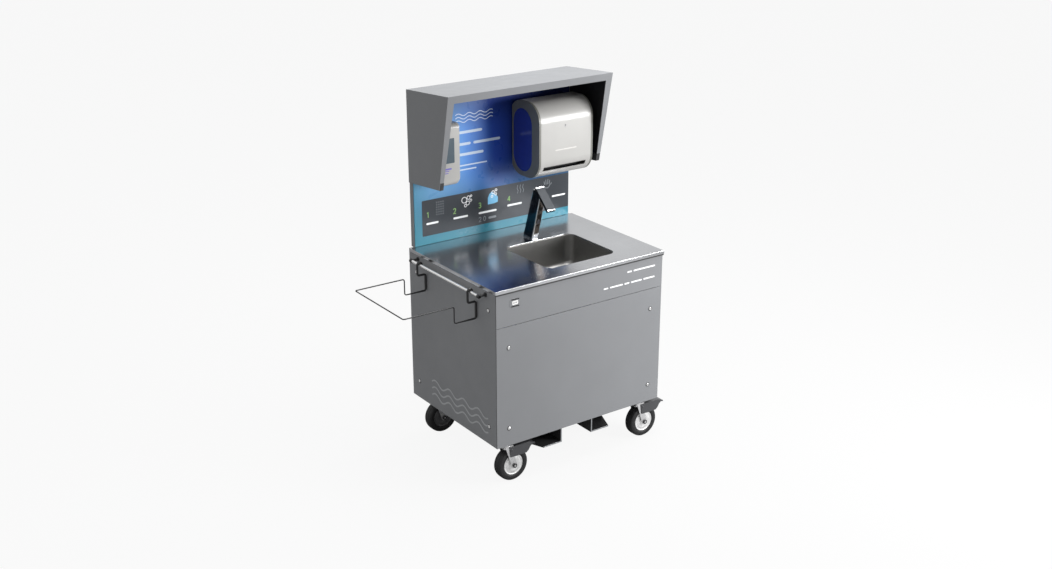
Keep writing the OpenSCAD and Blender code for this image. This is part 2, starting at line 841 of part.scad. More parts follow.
module rear_door() {
    x = door_w / 2;
    color("slategray") place() {
        difference() {
            block([-x, half_d - door_return, door_z], [x, half_d, door_z + door_h]);
            block([-x + sheet, half_d - door_return - 1, door_z + sheet],
                  [x - sheet, half_d - sheet, door_z + door_h - sheet]);
            bar_y(6 + fit, half_d - 10, half_d + 1, latch_x, latch_z);
        }
        for (z = hinge_zs()) difference() {
            union() {
                translate([hinge_x, hinge_y, z + leaf_h + 1]) cylinder(h = leaf_h, r = hinge_r);
                block([hinge_x, half_d + 0.5, z + leaf_h + 1], [-x + 30, half_d + 2.5, z + 2 * leaf_h + 1]);
                block([-x + 4, half_d, z + leaf_h + 1], [-x + 30, half_d + 1, z + 2 * leaf_h + 1]);
            }
            translate([hinge_x, hinge_y, z]) cylinder(h = 60, r = hinge_pin_r + fit);
        }
    }
}

module door_latch() {
    color("silver") place() {
        bar_y(6, half_d - 22, half_d + 1, latch_x, latch_z);
        bar_y(15, half_d + 0.3, half_d + 6, latch_x, latch_z);
        block([latch_x - 3, half_d + 5, latch_z - 13], [latch_x + 3, half_d + latch_out, latch_z + 13]);
        block([latch_x - 8, half_d - 25, latch_z - 8], [latch_x + 8, half_d - 21, latch_z + 46]);
    }
}

// ---- Casters ----

// Puts a caster part at its corner: side is -1 for left, end is -1 for front
module at_caster(side, end) { place() translate([side * caster_x, end * caster_y, 0]) children(); }

module caster_plates() {
    color("silver") for (side = [-1, 1], end = [-1, 1]) at_caster(side, end) {
        difference() {
            translate([0, 0, head_z]) linear_extrude(plate_t) round_rect(plate_size[0], plate_size[1], 8);
            for (x = [-1, 1], y = [-1, 1]) translate([plate_bolts[0] * x, plate_bolts[1] * y, head_z - 1])
                cylinder(h = plate_t + 2, r = plate_hole_r);
        }
        translate([0, 0, crown_z[1] + 0.3]) cylinder(h = head_z - crown_z[1] - 0.3, r = boss_r);
        translate([0, 0, crown_z[0] - 8]) cylinder(h = head_z - crown_z[0] + 8, r = stem_r);
        translate([0, 0, crown_z[0] - 9]) cylinder(h = 8, r = stem_nut_r);
    }
}

// Side outline of a fork leg, from the crown down to the axle
module leg_outline() {
    polygon([[-18, crown_z[1]], [22, crown_z[1]], [22, 146], [trail + 12, wheel_r + 5],
             [trail + 4, wheel_r - 12.4], [trail - 11, wheel_r - 7]]);
    translate([trail, wheel_r]) circle(r = 13);
}

module caster_fork(side, end) {
    color("gainsboro") at_caster(side, end) {
        difference() {
            translate([2, 0, crown_z[0]]) linear_extrude(crown_z[1] - crown_z[0])
                round_rect(40, 2 * fork_leg_y, 6);
            translate([0, 0, crown_z[0] - 1]) cylinder(h = 20, r = stem_r + fit);
        }
        for (y = [-fork_leg_y, fork_leg_y + fork_leg_t]) front_profile(y, fork_leg_t) leg_outline();
        bar_y(axle_r, -fork_leg_y - fork_leg_t - 3, fork_leg_y + fork_leg_t + 3, trail, wheel_r);
        for (y = [-fork_leg_y - fork_leg_t - 6, fork_leg_y + fork_leg_t])
            bar_y(9, y, y + 6, trail, wheel_r, $fn = 6);
        bar_y(pedal_pin_r, -pedal_y - pedal_t, -fork_leg_y, pedal_pivot[0], pedal_pivot[1]);
        bar_y(pedal_pin_r, fork_leg_y, pedal_y + pedal_t, pedal_pivot[0], pedal_pivot[1]);
    }
}

module caster_wheel(side, end) {
    half = tyre_w / 2;
    round = 9;
    tread = [for (a = [0 : 15 : 90]) [wheel_r - round + round * sin(a), half - round + round * cos(a)]];
    color("black") at_caster(side, end) translate([trail, 0, wheel_r]) rotate([90, 0, 0]) {
        rotate_extrude($fn = 72) polygon(concat([[hub_r + 0.05, -half + 2], [hub_r + 0.05, half - 2],
            [hub_r + 3, half]], tread, [for (i = [6 : -1 : 0]) [tread[i][0], -tread[i][1]]],
            [[hub_r + 3, -half]]));
        rotate_extrude($fn = 72) polygon([[axle_r + fit, -24.5], [axle_r + fit, 24.5], [14, 24.5], [15, 19],
            [30, 18.5], [40, 19.5], [hub_r, 19.5], [hub_r, -19.5], [40, -19.5], [30, -18.5], [15, -19],
            [14, -24.5]]);
    }
}

// Side outline of the brake pedal's cheeks, from the stem to its toe
module cheek_outline() {
    polygon([[3, 165], [8, 118], [52, 117], [88, 118], [99, 127], [108, 142], [118, 150], [118, 158],
             [100, 165]]);
}

module brake_pedal(side, end) {
    color("dimgray") at_caster(side, end) difference() {
        union() {
            for (y = [-pedal_y, pedal_y + pedal_t]) front_profile(y, pedal_t) cheek_outline();
            front_profile(pedal_y, 2 * pedal_y) polygon([[26, 158], [26, 154], [98, 154], [106, 142],
                [118, 150], [pedal_reach, 146], [pedal_reach + 4, 150], [100, 165], [60, 164]]);
            block([48, -18, 147], [62, 18, 156]);
        }
        bar_y(pedal_pin_r + fit, -pedal_y - 5, pedal_y + 5, pedal_pivot[0], pedal_pivot[1]);
    }
}

module caster_fork_fl() { caster_fork(-1, -1); }
module caster_fork_fr() { caster_fork(1, -1); }
module caster_fork_bl() { caster_fork(-1, 1); }
module caster_fork_br() { caster_fork(1, 1); }
module caster_wheel_fl() { caster_wheel(-1, -1); }
module caster_wheel_fr() { caster_wheel(1, -1); }
module caster_wheel_bl() { caster_wheel(-1, 1); }
module caster_wheel_br() { caster_wheel(1, 1); }
module brake_pedal_fl() { brake_pedal(-1, -1); }
module brake_pedal_fr() { brake_pedal(1, -1); }
module brake_pedal_bl() { brake_pedal(-1, 1); }
module brake_pedal_br() { brake_pedal(1, 1); }

frame_posts();
frame_rails();
base_pan();
fork_channels();
side_panel_left();
side_panel_right();
front_panel();
front_apron();
rear_surround();
panel_screws();
status_bezel();
status_window();
worktop();
sink_basin();
drain_strainer();
drain_tailpiece();
drain_hose();
faucet_leg();
faucet_spout();
faucet_shank();
faucet_sensor();
faucet_aerator();
backboard();
graphic_board();
hood_shell();
hood_liner();
side_rail();
rail_mounts();
wire_rack();
towel_housing();
towel_cover();
towel_end_frames();
towel_windows();
paper_roll();
feed_roller();
soap_housing();
soap_cover();
soap_window();
soap_refill();
fresh_tank();
waste_tank();
tank_caps();
water_pump();
battery();
supply_hose();
rear_door();
door_latch();
caster_plates();
caster_fork_fl();
caster_fork_fr();
caster_fork_bl();
caster_fork_br();
caster_wheel_fl();
caster_wheel_fr();
caster_wheel_bl();
caster_wheel_br();
brake_pedal_fl();
brake_pedal_fr();
brake_pedal_bl();
brake_pedal_br();
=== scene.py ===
"""Looks for the mobile hand-wash station: materials, rounded edges and detailed pieces on the CAD frame."""
import json
import math

import bmesh
import bpy
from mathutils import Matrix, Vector


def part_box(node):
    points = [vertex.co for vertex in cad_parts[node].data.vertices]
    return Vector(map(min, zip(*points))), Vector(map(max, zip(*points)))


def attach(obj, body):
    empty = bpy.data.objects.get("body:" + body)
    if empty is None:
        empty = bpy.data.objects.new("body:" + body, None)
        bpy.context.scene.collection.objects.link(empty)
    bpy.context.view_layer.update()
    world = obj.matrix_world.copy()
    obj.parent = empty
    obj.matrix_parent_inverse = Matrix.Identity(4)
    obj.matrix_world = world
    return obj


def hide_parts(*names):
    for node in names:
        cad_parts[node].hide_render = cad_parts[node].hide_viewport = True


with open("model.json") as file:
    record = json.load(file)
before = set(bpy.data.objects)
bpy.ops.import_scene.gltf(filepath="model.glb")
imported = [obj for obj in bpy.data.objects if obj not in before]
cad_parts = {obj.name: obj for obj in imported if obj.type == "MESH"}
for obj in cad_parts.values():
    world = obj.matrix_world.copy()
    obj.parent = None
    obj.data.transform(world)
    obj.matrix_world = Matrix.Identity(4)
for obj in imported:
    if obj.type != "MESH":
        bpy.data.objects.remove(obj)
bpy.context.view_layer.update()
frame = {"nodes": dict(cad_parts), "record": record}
MM = 0.001


def centre(node):
    """Middle of a CAD node's box."""
    low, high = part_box(node)
    return (low + high) / 2


CABINET = centre("base_pan")            # the cabinet's middle, in plan
CABINET.z = 0


# ---------------------------------------------------------------- camera, light and floor

def set_camera():
    """From the front left, looking down a little."""
    data = bpy.data.cameras.new("camera")
    data.sensor_width = 36
    data.lens = 45.94
    camera = bpy.data.objects.new("camera", data)
    camera.location = CABINET + Vector((-3.193, -4.430, 2.770))
    camera.rotation_euler = (math.radians(90 - 20.577), 0, math.radians(-35.356))
    bpy.context.scene.collection.objects.link(camera)
    bpy.context.scene.camera = camera


def add_light(name, place, size, power, aim=(0, 0, 0.8), colour=(1, 1, 1)):
    data = bpy.data.lights.new(name, "AREA")
    data.shape = "RECTANGLE"
    data.size, data.size_y = size
    data.energy = power
    data.color = colour
    light = bpy.data.objects.new(name, data)
    light.location = CABINET + Vector(place)
    toward = CABINET + Vector(aim) - light.location
    light.rotation_euler = toward.to_track_quat("-Z", "Y").to_euler()
    bpy.context.scene.collection.objects.link(light)


def seen_directly(tree, socket, hidden, seen):
    """Sets a studio backdrop's socket to one value where it is seen and another where it only lights."""
    path = tree.nodes.new("ShaderNodeLightPath")
    tree.links.new(spread(tree, path.outputs["Is Camera Ray"], hidden, seen, 0, 1), socket)


def set_stage():
    """Pale floor, white surroundings, a large light above and a small key at the front right."""
    world = bpy.data.worlds.new("studio")
    world.use_nodes = True
    backdrop = world.node_tree.nodes["Background"]
    backdrop.inputs["Color"].default_value = (1, 1, 1, 1)
    seen_directly(world.node_tree, backdrop.inputs["Strength"], 0.80, 0.955)
    bpy.context.scene.world = world
    bpy.context.scene.view_settings.view_transform = "Standard"
    add_light("overhead", (1.0, -0.2, 4.1), (2.4, 2.4), 190, (0.2, 0, 1.5))
    add_light("front_right", (1.9, -2.2, 1.5), (1.2, 1.2), 98, (0.2, -0.2, 0.7))
    mesh = bpy.data.meshes.new("floor")
    span = 40
    corners = [(-span, -span, 0), (span, -span, 0), (span, span, 0), (-span, span, 0)]
    mesh.from_pydata(corners, [], [(0, 1, 2, 3)])
    floor = bpy.data.objects.new("floor", mesh)
    bpy.context.scene.collection.objects.link(floor)
    pale, tree, shader = surface("pale_floor", (0.3, 0.3, 0.3), 1.0, Specular_IOR_Level=0.0)
    seen_directly(tree, shader.inputs["Base Color"], 0.30, 0.03)
    shader.inputs["Emission Color"].default_value = (1, 1, 1, 1)
    seen_directly(tree, shader.inputs["Emission Strength"], 0.0, 0.91)
    mesh.materials.append(pale)


# ---------------------------------------------------------------- material helpers

def surface(name, colour, rough, metal=0.0, **sockets):
    """A Principled material; sockets are further numbers set on the shader itself."""
    made = bpy.data.materials.new(name)
    made.use_nodes = True
    shader = made.node_tree.nodes["Principled BSDF"]
    shader.inputs["Base Color"].default_value = (*colour, 1)
    shader.inputs["Roughness"].default_value = rough
    shader.inputs["Metallic"].default_value = metal
    for socket, value in sockets.items():
        shader.inputs[socket.replace("_", " ")].default_value = value
    return made, made.node_tree, shader


def noise(tree, scale, detail=4.0, stretch=(1, 1, 1), rough=0.55):
    """Noise in object space, in cycles per metre, stretched along the axes."""
    place = tree.nodes.new("ShaderNodeTexCoord")
    mapping = tree.nodes.new("ShaderNodeMapping")
    mapping.inputs["Scale"].default_value = stretch
    texture = tree.nodes.new("ShaderNodeTexNoise")
    texture.inputs["Scale"].default_value = scale
    texture.inputs["Detail"].default_value = detail
    texture.inputs["Roughness"].default_value = rough
    tree.links.new(place.outputs["Object"], mapping.inputs["Vector"])
    tree.links.new(mapping.outputs["Vector"], texture.inputs["Vector"])
    return texture.outputs["Fac"]


def spread(tree, fac, low, high, start=0.3, end=0.7):
    """Maps a factor to a range of numbers."""
    node = tree.nodes.new("ShaderNodeMapRange")
    node.inputs["From Min"].default_value = start
    node.inputs["From Max"].default_value = end
    node.inputs["To Min"].default_value = low
    node.inputs["To Max"].default_value = high
    tree.links.new(fac, node.inputs["Value"])
    return node.outputs["Result"]


def tint(tree, fac, first, second, start=0.3, end=0.7):
    """Blends two colours by a factor."""
    node = tree.nodes.new("ShaderNodeValToRGB")
    node.color_ramp.elements[0].position = start
    node.color_ramp.elements[0].color = (*first, 1)
    node.color_ramp.elements[1].position = end
    node.color_ramp.elements[1].color = (*second, 1)
    tree.links.new(fac, node.inputs["Fac"])
    return node.outputs["Color"]


def bump(tree, shader, height, strength, depth):
    """Adds a bump to the shader, over any bump that it has."""
    node = tree.nodes.new("ShaderNodeBump")
    node.inputs["Strength"].default_value = strength
    node.inputs["Distance"].default_value = depth
    tree.links.new(height, node.inputs["Height"])
    for link in list(shader.inputs["Normal"].links):
        tree.links.new(link.from_socket, node.inputs["Normal"])
    tree.links.new(node.outputs["Normal"], shader.inputs["Normal"])


def srgb(red, green, blue):
    """Screen colour, 0 to 255, as the linear colour that a shader takes."""
    return tuple(c / 255 / 12.92 if c < 11 else ((c / 255 + 0.055) / 1.055) ** 2.4
                 for c in (red, green, blue))


def ramp(tree, fac, stops):
    """Colour ramp from (place, screen colour) stops."""
    node = tree.nodes.new("ShaderNodeValToRGB")
    elements = node.color_ramp.elements
    while len(elements) < len(stops):
        elements.new(0.5)
    for element, (place, colour) in zip(elements, stops):
        element.position = place
        element.color = (*srgb(*colour), 1)
    tree.links.new(fac, node.inputs["Fac"])
    return node.outputs["Color"]


def blend_colour(tree, fac, first, second):
    """Blends a colour socket with a second one, or with a plain screen colour, by a factor."""
    node = tree.nodes.new("ShaderNodeMix")
    node.data_type = "RGBA"
    tree.links.new(fac, node.inputs["Factor"])
    tree.links.new(first, node.inputs[6])
    if isinstance(second, tuple):
        node.inputs[7].default_value = (*srgb(*second), 1)
    else:
        tree.links.new(second, node.inputs[7])
    return node.outputs[2]


def shade(colour, factor):
    """The colour made lighter or darker."""
    return tuple(min(1, c * factor) for c in colour)


def painted(name, colour, rough=0.42, grain=900):
    """Powder-coated sheet metal: fine orange peel, faint cloudiness and smudges."""
    made, tree, shader = surface(name, colour, rough)
    cloudy = tint(tree, noise(tree, 2.2, 3), shade(colour, 0.95), shade(colour, 1.05))
    tree.links.new(cloudy, shader.inputs["Base Color"])
    tree.links.new(spread(tree, noise(tree, 14, 6), rough - 0.05, rough + 0.07), shader.inputs["Roughness"])
    bump(tree, shader, noise(tree, grain, 2), 0.12, 0.0003)
    return made


def brushed(name, colour, rough, stretch, scratch=0.10):
    """Brushed stainless steel with its grain drawn out along one axis."""
    made, tree, shader = surface(name, colour, rough, 1.0, Anisotropic=0.5)
    lines = noise(tree, 30, 6, stretch, 0.7)
    tree.links.new(spread(tree, lines, rough - 0.06, rough + 0.08), shader.inputs["Roughness"])
    cloudy = tint(tree, noise(tree, 5, 4), shade(colour, 0.94), shade(colour, 1.04))
    tree.links.new(cloudy, shader.inputs["Base Color"])
    bump(tree, shader, lines, scratch, 0.0002)
    return made


def polished(name, colour, rough=0.06):
    """Chrome plate with faint smudges."""
    made, tree, shader = surface(name, colour, rough, 1.0)
    tree.links.new(spread(tree, noise(tree, 45, 5), rough * 0.6, rough * 1.8), shader.inputs["Roughness"])
    return made


def plated(name, colour, rough=0.32):
    """Zinc-plated steel: mottled, half bright."""
    made, tree, shader = surface(name, colour, rough, 0.9)
    mottled = tint(tree, noise(tree, 90, 5), shade(colour, 0.86), shade(colour, 1.06))
    tree.links.new(mottled, shader.inputs["Base Color"])
    tree.links.new(spread(tree, noise(tree, 160, 4), rough - 0.1, rough + 0.12), shader.inputs["Roughness"])
    bump(tree, shader, noise(tree, 700, 3), 0.10, 0.0003)
    return made


def moulded(name, colour, rough=0.45, grain=1600, depth=0.12, **sockets):
    """Moulded plastic with a fine spark-eroded texture."""
    made, tree, shader = surface(name, colour, rough, **sockets)
    cloudy = tint(tree, noise(tree, 6, 3), shade(colour, 0.97), shade(colour, 1.03))
    tree.links.new(cloudy, shader.inputs["Base Color"])
    tree.links.new(spread(tree, noise(tree, 40, 5), rough - 0.05, rough + 0.06), shader.inputs["Roughness"])
    bump(tree, shader, noise(tree, grain, 2), depth, 0.0002)
    return made


def board_print():
    """The board's printed blues: mid blue at the left, navy behind the dispenser, cyan at the foot and the
    left edge; near the top, painted shade of the roof darkens it to navy."""
    made, tree, shader = surface("printed_board", (0.05, 0.16, 0.42), 0.28, Specular_IOR_Level=0.25)
    low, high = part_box("graphic_board")
    place = tree.nodes.new("ShaderNodeTexCoord")
    split = tree.nodes.new("ShaderNodeSeparateXYZ")
    tree.links.new(place.outputs["Object"], split.inputs["Vector"])
    across = spread(tree, split.outputs["X"], 0, 1, low.x, high.x)
    up = spread(tree, split.outputs["Z"], 0, 1, low.z, high.z)
    cloud = noise(tree, 2.0, 0)
    wander = tree.nodes.new("ShaderNodeMath")
    wander.operation = "MULTIPLY_ADD"
    wander.inputs[1].default_value = 0.18
    tree.links.new(cloud, wander.inputs[0])
    tree.links.new(across, wander.inputs[2])
    left_to_right = ((0.10, (130, 188, 232)), (0.26, (122, 176, 226)), (0.40, (88, 138, 212)),
                     (0.56, (40, 72, 164)), (0.76, (30, 48, 122)), (1.0, (36, 50, 100)))
    sweep = ramp(tree, wander.outputs["Value"], left_to_right)
    foot = ramp(tree, up, ((0.0, (58, 124, 142)), (0.08, (56, 122, 142)), (0.30, (46, 92, 118)),
                           (0.42, (46, 88, 122)), (1.0, (40, 80, 150))))
    depth = spread(tree, up, 1, 0, 0.16, 0.52)
    mixed = blend_colour(tree, depth, sweep, foot)
    edge = spread(tree, across, 0.75, 0, 0.0, 0.10)
    pale = ramp(tree, up, ((0.0, (58, 124, 142)), (0.5, (74, 132, 160)), (1.0, (104, 156, 200))))
    printed = blend_colour(tree, edge, mixed, pale)
    # Painted shade: the board's top is blended to dark navy where the hood's roof shades it.
    painted_roof_shade = spread(tree, up, 0, 0.75, 0.74, 0.98)
    tree.links.new(blend_colour(tree, painted_roof_shade, printed, (8, 20, 60)), shader.inputs["Base Color"])
    tree.links.new(spread(tree, noise(tree, 30, 1), 0.27, 0.31), shader.inputs["Roughness"])
    bump(tree, shader, noise(tree, 900, 2), 0.02, 0.0001)
    return made


def make_materials():
    """Every finish, by its name: the record's material slots first and then those of the pieces."""
    m = {}
    m["grey_paint"] = painted("grey_paint", (0.182, 0.187, 0.196))
    m["frame_steel"] = painted("frame_steel", (0.10, 0.105, 0.11), 0.5)
    m["black_steel"] = painted("black_steel", (0.018, 0.018, 0.019), 0.45)
    m["black_lining"] = painted("black_lining", (0.008, 0.008, 0.009), 0.6)
    m["black_wire"] = painted("black_wire", (0.012, 0.012, 0.013), 0.35, 2500)
    m["stainless"] = brushed("stainless", (0.56, 0.57, 0.59), 0.18, (0.6, 30, 30), 0.03)
    m["basin_steel"] = brushed("basin_steel", (0.29, 0.287, 0.28), 0.42, (12, 12, 4), 0.03)
    m["rail_steel"] = brushed("rail_steel", (0.92, 0.92, 0.92), 0.25, (40, 1, 40))
    m["screw_steel"] = plated("screw_steel", (0.78, 0.78, 0.78), 0.22)
    m["chrome"] = polished("chrome", (0.72, 0.73, 0.75))
    m["zinc_steel"] = plated("zinc_steel", (0.74, 0.74, 0.75))
    m["white_window"] = moulded("white_window", (0.85, 0.85, 0.84), 0.25)
    m["dark_window"] = moulded("dark_window", (0.05, 0.05, 0.055), 0.15, 600, 0.03, Coat_Weight=0.4)
    m["black_plastic"] = moulded("black_plastic", (0.02, 0.02, 0.021), 0.5)
    m["pedal_plastic"] = moulded("pedal_plastic", (0.045, 0.046, 0.05), 0.42)
    m["grey_plastic"] = moulded("grey_plastic", (0.135, 0.135, 0.12), 0.4)
    m["white_plastic"] = moulded("white_plastic", (0.36, 0.355, 0.343), 0.34, 1400, 0.10, Coat_Weight=0.15)
    m["blue_window"] = moulded("blue_window", (0.02, 0.035, 0.24), 0.12, 300, 0.02, Coat_Weight=0.5)
    m["paper"] = moulded("paper", (0.80, 0.79, 0.75), 0.9, 500, 0.6)
    m["clear_bottle"] = moulded("clear_bottle", (0.62, 0.70, 0.78), 0.15, 300, 0.03)
    m["tank_plastic"] = moulded("tank_plastic", (0.70, 0.71, 0.70), 0.45, 250, 0.2)
    m["cap_plastic"] = moulded("cap_plastic", (0.03, 0.09, 0.33), 0.4)
    m["clear_tube"] = moulded("clear_tube", (0.6, 0.63, 0.66), 0.2, 400, 0.05)
    m["tyre"] = moulded("tyre", (0.013, 0.013, 0.014), 0.55, 700, 0.3, Specular_IOR_Level=0.35)
    m["wheel_disc"] = plated("wheel_disc", (0.90, 0.90, 0.90), 0.45)
    # Painted shade: the wheel_disc zinc made dark for the rear wheels, which sit in the cabinet's shade.
    m["rear_disc_painted_shade"] = plated("rear_disc_painted_shade", (0.15, 0.15, 0.155), 0.5)
    m["smoked_chrome"] = polished("smoked_chrome", (0.07, 0.08, 0.11), 0.12)
    m["cut_steel"] = plated("cut_steel", (0.42, 0.43, 0.45), 0.4)
    m["bronze_glass"] = polished("bronze_glass", (0.20, 0.175, 0.155), 0.22)
    m["dark_glass"] = moulded("dark_glass", (0.010, 0.011, 0.013), 0.25, 400, 0.02, Specular_IOR_Level=0.15)
    m["slate_glass"] = moulded("slate_glass", (0.075, 0.105, 0.13), 0.2, 400, 0.03, Coat_Weight=0.3)
    m["charcoal_print"] = moulded("charcoal_print", (0.036, 0.041, 0.048), 0.36, 900, 0.03,
                                  Specular_IOR_Level=0.2)
    m["print_green"] = moulded("print_green", (0.22, 0.42, 0.12), 0.5, 900, 0.03)
    m["print_white"] = moulded("print_white", (0.80, 0.81, 0.82), 0.5, 900, 0.03)
    m["print_pale"] = moulded("print_pale", (0.52, 0.62, 0.76), 0.5, 900, 0.03)
    m["print_faint"] = moulded("print_faint", (0.20, 0.22, 0.24), 0.5, 900, 0.03)
    m["print_blue"] = moulded("print_blue", (0.14, 0.40, 0.62), 0.4, 900, 0.03)
    m["label_blue"] = moulded("label_blue", (0.12, 0.10, 0.42), 0.5, 900, 0.03)
    m["mark_grey"] = moulded("mark_grey", (0.30, 0.30, 0.30), 0.5, 900, 0.03)
    m["mark_pale"] = moulded("mark_pale", (0.52, 0.51, 0.49), 0.5, 900, 0.03)
    m["mark_silver"] = moulded("mark_silver", (0.33, 0.34, 0.35), 0.45, 900, 0.03)
    m["printed_board"] = board_print()
    return m


# ---------------------------------------------------------------- CAD nodes that stay

def round_edges(obj, width, harden=True):
    bevel = obj.modifiers.new("edges", "BEVEL")
    bevel.width = width
    bevel.segments = 2
    bevel.limit_method = "ANGLE"
    bevel.angle_limit = math.radians(35)
    bevel.harden_normals = harden


def carry(node, material, edge, flat):
    """Gives a CAD node its material and rounds its edges a little; flat keeps broad flat faces true."""
    obj = frame["nodes"][node]
    obj.data.materials.clear()
    obj.data.materials.append(material)
    if "custom_normal" in obj.data.attributes:
        obj.data.attributes.remove(obj.data.attributes["custom_normal"])
    obj.data.polygons.foreach_set("use_smooth", [not flat] * len(obj.data.polygons))
    weld = obj.modifiers.new("weld", "WELD")
    weld.merge_threshold = 0.01 * MM
    if edge:
        round_edges(obj, edge, not flat)


SLOT_OF = {p["node"]: p["material_slot"] for p in frame["record"]["subparts"]}
OTHER_FINISH = {"sink_basin": "basin_steel", "drain_strainer": "basin_steel", "side_rail": "rail_steel",
                "rail_mounts": "black_plastic", "faucet_spout": "dark_glass"}
EDGE_OF = {"hood_shell": 1.2 * MM, "worktop": 0.5 * MM, "wire_rack": 0, "faucet_leg": 1.0 * MM,
           "faucet_spout": 1.0 * MM, "graphic_board": 0.5 * MM, "hood_liner": 0.2 * MM}


def dress_cad():
    """Dresses every CAD node, also those that a detailed piece stands for."""
    for node in sorted(frame["nodes"]):
        finish = MATERIALS[OTHER_FINISH.get(node, SLOT_OF[node])]
        carry(node, finish, EDGE_OF.get(node, 0.6 * MM), node == "worktop")


# ---------------------------------------------------------------- mesh helpers

class Shape:
    """Collects vertices and faces, in the row frame and in metres, and turns them into one piece."""

    def __init__(self):
        self.verts, self.faces = [], []

    def add(self, verts, faces):
        start = len(self.verts)
        self.verts += [Vector(v) for v in verts]
        self.faces += [[start + i for i in face] for face in faces]

    def loft(self, rings, first=True, last=True):
        """Skins a list of rings that have the same number of points, and closes its ends."""
        n = len(rings[0])
        faces = [[i * n + k, i * n + (k + 1) % n, (i + 1) * n + (k + 1) % n, (i + 1) * n + k]
                 for i in range(len(rings) - 1) for k in range(n)]
        if first:
            faces.append(list(range(n))[::-1])
        if last:
            faces.append(list(range((len(rings) - 1) * n, len(rings) * n)))
        self.add([p for ring in rings for p in ring], faces)

    def lathe(self, profile, middle, axis, steps=64):
        """Turns (radius, offset) pairs about an axis, 0 for X, 1 for Y and 2 for Z."""
        one, two = [(1, 2), (2, 0), (0, 1)][axis]
        rings = []
        for radius, offset in profile:
            ring = []
            for k in range(steps):
                turn = 2 * math.pi * k / steps
                p = Vector(middle)
                p[axis] += offset
                p[one] += radius * math.cos(turn)
                p[two] += radius * math.sin(turn)
                ring.append(p)
            rings.append(ring)
        self.loft(rings)

    def plate(self, outline, frame_of, low, high):
        """A flat outline pushed from one depth to another; frame_of(u, v, depth) gives a point."""
        self.loft([[frame_of(u, v, low) for u, v in outline], [frame_of(u, v, high) for u, v in outline]])

    def ribbon(self, points, width, frame_of, low=0.1 * MM, high=0.3 * MM):
        """A flat printed line along points; it closes on itself if it ends where it starts."""
        closed = (Vector(points[0]) - Vector(points[-1])).length < 1e-6
        flat = [Vector(p) for p in (points[:-1] if closed else points)]
        n, rings = len(flat), []
        for i, p in enumerate(flat):
            before = (p - flat[i - 1]) if closed or i else (flat[1] - p)
            after = (flat[(i + 1) % n] - p) if closed or i < n - 1 else before
            before, after = before.normalized(), after.normalized()
            along = (before + after).normalized() if (before + after).length > 0.1 else after
            out = Vector((-along.y, along.x)) * min(1.6, 1 / max(0.2, along.dot(before))) * width / 2
            rings.append([frame_of(*(p + out), low), frame_of(*(p + out), high),
                          frame_of(*(p - out), high), frame_of(*(p - out), low)])
        if closed:
            rings.append(rings[0])
        self.loft(rings, not closed, not closed)

    def tube(self, path, radii, sides=16):
        """A round bar along a path, with a radius for each point."""
        rings, side = [], None
        for i, p in enumerate(path):
            along = (path[min(i + 1, len(path) - 1)] - path[max(i - 1, 0)]).normalized()
            side = side or along.orthogonal()
            side = (side - along * side.dot(along)).normalized()
            up = along.cross(side)
            rings.append([p + radii[i] * (math.cos(t) * side + math.sin(t) * up)
                          for t in [2 * math.pi * k / sides for k in range(sides)]])
        self.loft(rings)

    def piece(self, name, body, finish, stands_for=(), slot="", edge=0.0, sharp=40):
        """Makes the object, which rides on a body and may stand for CAD nodes; its slot argument is not used.
        """
        mesh = bpy.data.meshes.new(name)
        mesh.from_pydata([tuple(v) for v in self.verts], [], self.faces)
        work = bmesh.new()
        work.from_mesh(mesh)
        bmesh.ops.recalc_face_normals(work, faces=work.faces)
        work.to_mesh(mesh)
        work.free()
        mesh.polygons.foreach_set("use_smooth", [True] * len(mesh.polygons))
        mesh.set_sharp_from_angle(angle=math.radians(sharp))
        mesh.materials.append(MATERIALS[finish])
        obj = bpy.data.objects.new(name, mesh)
        bpy.context.scene.collection.objects.link(obj)
        if edge:
            round_edges(obj, edge)
        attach(obj, body)
        if stands_for:
            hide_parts(*stands_for)
        return obj


def arc(middle, radius, start, stop, steps=8):
    """Points on a circle, in degrees."""
    return [(middle[0] + radius * math.cos(math.radians(start + (stop - start) * k / steps)),
             middle[1] + radius * math.sin(math.radians(start + (stop - start) * k / steps)))
            for k in range(steps + 1)]


def round_box(width, height, low_r, high_r=None, middle=(0, 0), steps=8):
    """Rectangle with round corners; the upper two may have another radius."""
    high_r = low_r if high_r is None else high_r
    w, h = width / 2, height / 2
    x, y = middle
    return (arc((x + w - low_r, y - h + low_r), low_r, -90, 0, steps)
            + arc((x + w - high_r, y + h - high_r), high_r, 0, 90, steps)
            + arc((x - w + high_r, y + h - high_r), high_r, 90, 180, steps)
            + arc((x - w + low_r, y - h + low_r), low_r, 180, 270, steps))


def capsule(a, b, width):
    """Outline of a round-ended stroke from one point to another."""
    turn = math.degrees(math.atan2(b[1] - a[1], b[0] - a[0]))
    return arc(b, width / 2, turn - 90, turn + 90, 6) + arc(a, width / 2, turn + 90, turn + 270, 6)


# ---------------------------------------------------------------- casters

CORNERS = ("fl", "fr", "bl", "br")


def in_mm(profile, out=1):
    """A lathe's (radius, offset) pairs from millimetres; out is -1 to turn them the other way."""
    return [(radius * MM, out * offset * MM) for radius, offset in profile]


def mirrored(half):
    """A lathe's whole profile from the half on one side of its middle."""
    return [(radius, -offset) for radius, offset in half] + list(reversed(half))


